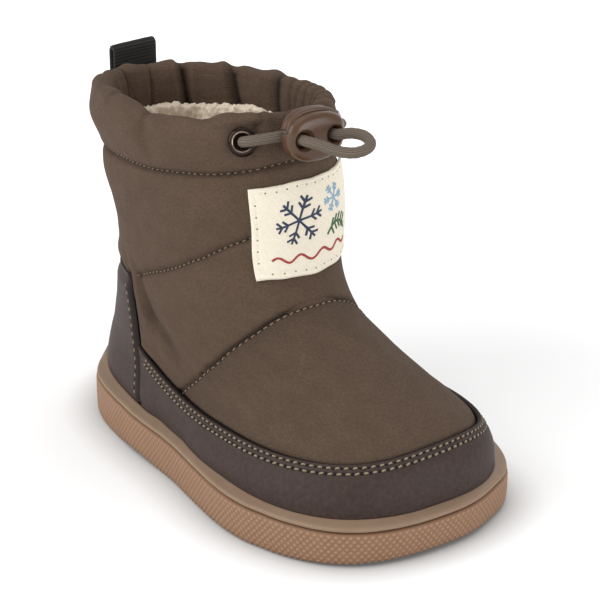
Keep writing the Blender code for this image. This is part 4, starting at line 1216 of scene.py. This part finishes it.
def makeLockBody():
    # Rows of rings from back to front: depth and inset from the full outline.
    rows = np.array([(1.0, 8.9), (1.0, 4.5), (1.05, 1.9), (1.3, 0.9), (1.8, 0.3), (2.6, 0.0), (4.9, 0.0),
                     (4.96, 0.0), (5.5, 0.06), (6.0, 0.22), (6.5, 0.6), (6.9, 1.15), (7.2, 1.9), (7.4, 2.9),
                     (7.55, 4.4), (7.6, 6.4), (7.6, 8.9)])
    depth = rows[:, :1]
    turn = np.linspace(0.0, 2 * np.pi, 161)[:-1]
    tall = np.where(np.sin(turn) > 0, lock["crown"], lock["drop"])
    right, up = arch(turn, lock["half"], tall)
    behind = depth < lock["step"]
    narrow = np.maximum(1.0 - np.abs(up / lock["underCap"]) ** lock["square"], 0.0) ** (1.0 / lock["square"])
    held = behind & (up > lock["ledge"])
    low = np.where(held, np.minimum(up, lock["underCap"]), up)
    right = np.where(held, np.sign(right) * np.minimum(np.abs(right), lock["shoulder"] * narrow), right)
    share = 1.0 - rows[:, 1:] / lock["half"]
    body = gridPiece("lock_body", lockPoint(depth, share * right, share * low), "plastic", "brown_plastic")
    # The holes' cutters from back to front: depth and radius.
    flare = np.array([(-1.0, 2.05), (5.6, 2.05), (6.2, 2.15), (6.7, 2.4), (7.1, 2.8), (7.4, 3.2), (9.0, 5.2)])
    for side in (-1, 1):
        cutter = lockPoint(flare[:, :1], side * lock["holeAcross"] + flare[:, 1:] * np.cos(turn[::5]),
                           lock["holeHeight"] + flare[:, 1:] * np.sin(turn[::5]))
        tool = gridPiece("lock_cutter", cutter, "plastic", "brown_plastic")
        modifier = body.modifiers.new("hole", "BOOLEAN")
        modifier.object, modifier.operation, modifier.solver = tool, "DIFFERENCE", "EXACT"
        bpy.context.view_layer.update()
        cutMesh = bpy.data.meshes.new_from_object(body.evaluated_get(bpy.context.evaluated_depsgraph_get()))
        body.modifiers.clear()
        body.data = cutMesh
        bpy.data.objects.remove(tool)
    body.data.polygons.foreach_set("use_smooth", np.ones(len(body.data.polygons), bool))
    body.data.set_sharp_from_angle(angle=np.radians(38.0))
    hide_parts("cord_lock_body")


def makeLockCap():
    # The cap's cross-section as inset and depth, with a raised bead along its front, swept over the arch.
    wall = lock["capWall"]
    section = np.array([(0.5, 1.1), (0.15, 1.4), (0.05, 2.0), (0.2, 2.9), (0.3, 3.3), (0.15, 3.6), (0.0, 4.0),
                        (0.05, 4.5), (0.3, 4.85), (0.7, 4.9), (0.98, 4.88), (0.98, 4.5), (wall, 4.3),
                        (wall, 3.0), (wall, 1.2)])
    section = roundOff(section, 1, closed=True)
    turn = np.linspace(0.0, np.pi, 121)[:, None]
    right, up = arch(turn, lock["capHalf"] - section[:, 0], lock["capCrown"] - section[:, 0])
    points = lockPoint(section[:, 1] + 0.0 * turn, right, np.maximum(up, lock["capFoot"]))[2:-2]
    cap = gridPiece("lock_cap", points, "plastic", "brown_plastic", body="lock_button")
    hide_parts("cord_lock_button")


makeLoop()
makeEyelets()
makeLockBody()
makeLockCap()
print("hardware made")


# Floor and soft studio light: half the floor's size, reach and tone of the painted contact shadow, and the
# glow from near to far with its distances; lights as place, height of aim, width in metres and power.
studio = {"floor": "#f6f6f6", "size": 15.0, "contact": 0.013, "shadow": "#4e4d4c", "near": 0.09, "glow": 0.6,
          "glowStart": 0.2, "glowEnd": 0.9, "world": 0.59}
lights = {"key": ((-1.0, 0.15, 0.6), 0.05, 0.9, 8.3), "top": ((-0.1, -0.1, 1.25), 0.03, 1.2, 4.3),
          "front": ((0.4, -1.12, 0.15), 0.03, 0.7, 6.2), "fill": ((1.0, 0.4, 0.8), 0.03, 0.9, 2.5)}


def makeStudio():
    size = studio["size"]
    mesh = bpy.data.meshes.new("studio_floor")
    mesh.from_pydata([(-size, -size, 0), (size, -size, 0), (size, size, 0), (-size, size, 0)], [],
                     [(0, 1, 2, 3)])
    # White floor sheet: a painted contact shadow where the sole shuts the light out, and glowing further off
    # so that it stays white.
    material, tree, shader = newMaterial("white floor sheet", studio["floor"], 0.9,
                                         emissionColor=linear("#ffffff"))
    near = addNode(tree, "ShaderNodeAmbientOcclusion", {"Distance": studio["contact"]}, samples=12)["AO"]
    white = {0: near, 6: linear(studio["shadow"]), 7: linear(studio["floor"])}
    tree.links.new(addNode(tree, "ShaderNodeMix", white, data_type="RGBA")[2], shader["Base Color"])
    place = addNode(tree, "ShaderNodeTexCoord", {})["Object"]
    far = addNode(tree, "ShaderNodeVectorMath", {0: place}, operation="LENGTH")["Value"]
    glow = {"Value": far, "From Min": studio["glowStart"], "From Max": studio["glowEnd"],
            "To Min": studio["near"], "To Max": studio["glow"]}
    tree.links.new(addNode(tree, "ShaderNodeMapRange", glow)[0], shader["Emission Strength"])
    mesh.materials.append(material)
    floor = bpy.data.objects.new("studio_floor", mesh)
    bpy.context.scene.collection.objects.link(floor)
    world = bpy.data.worlds.new("studio")
    world.use_nodes = True
    background = world.node_tree.nodes["Background"].inputs
    background["Color"].default_value = linear("#ffffff")
    background["Strength"].default_value = studio["world"]
    bpy.context.scene.world = world
    for name, (place, aim, wide, power) in lights.items():
        data = bpy.data.lights.new(name, "AREA")
        data.size, data.energy = wide, power
        light = bpy.data.objects.new(name, data)
        light.location = place
        light.rotation_euler = (Vector((0, 0, aim)) - Vector(place)).to_track_quat("-Z", "Y").to_euler()
        bpy.context.scene.collection.objects.link(light)
    bpy.context.scene.view_settings.view_transform = "Standard"


makeStudio()
print("studio made")
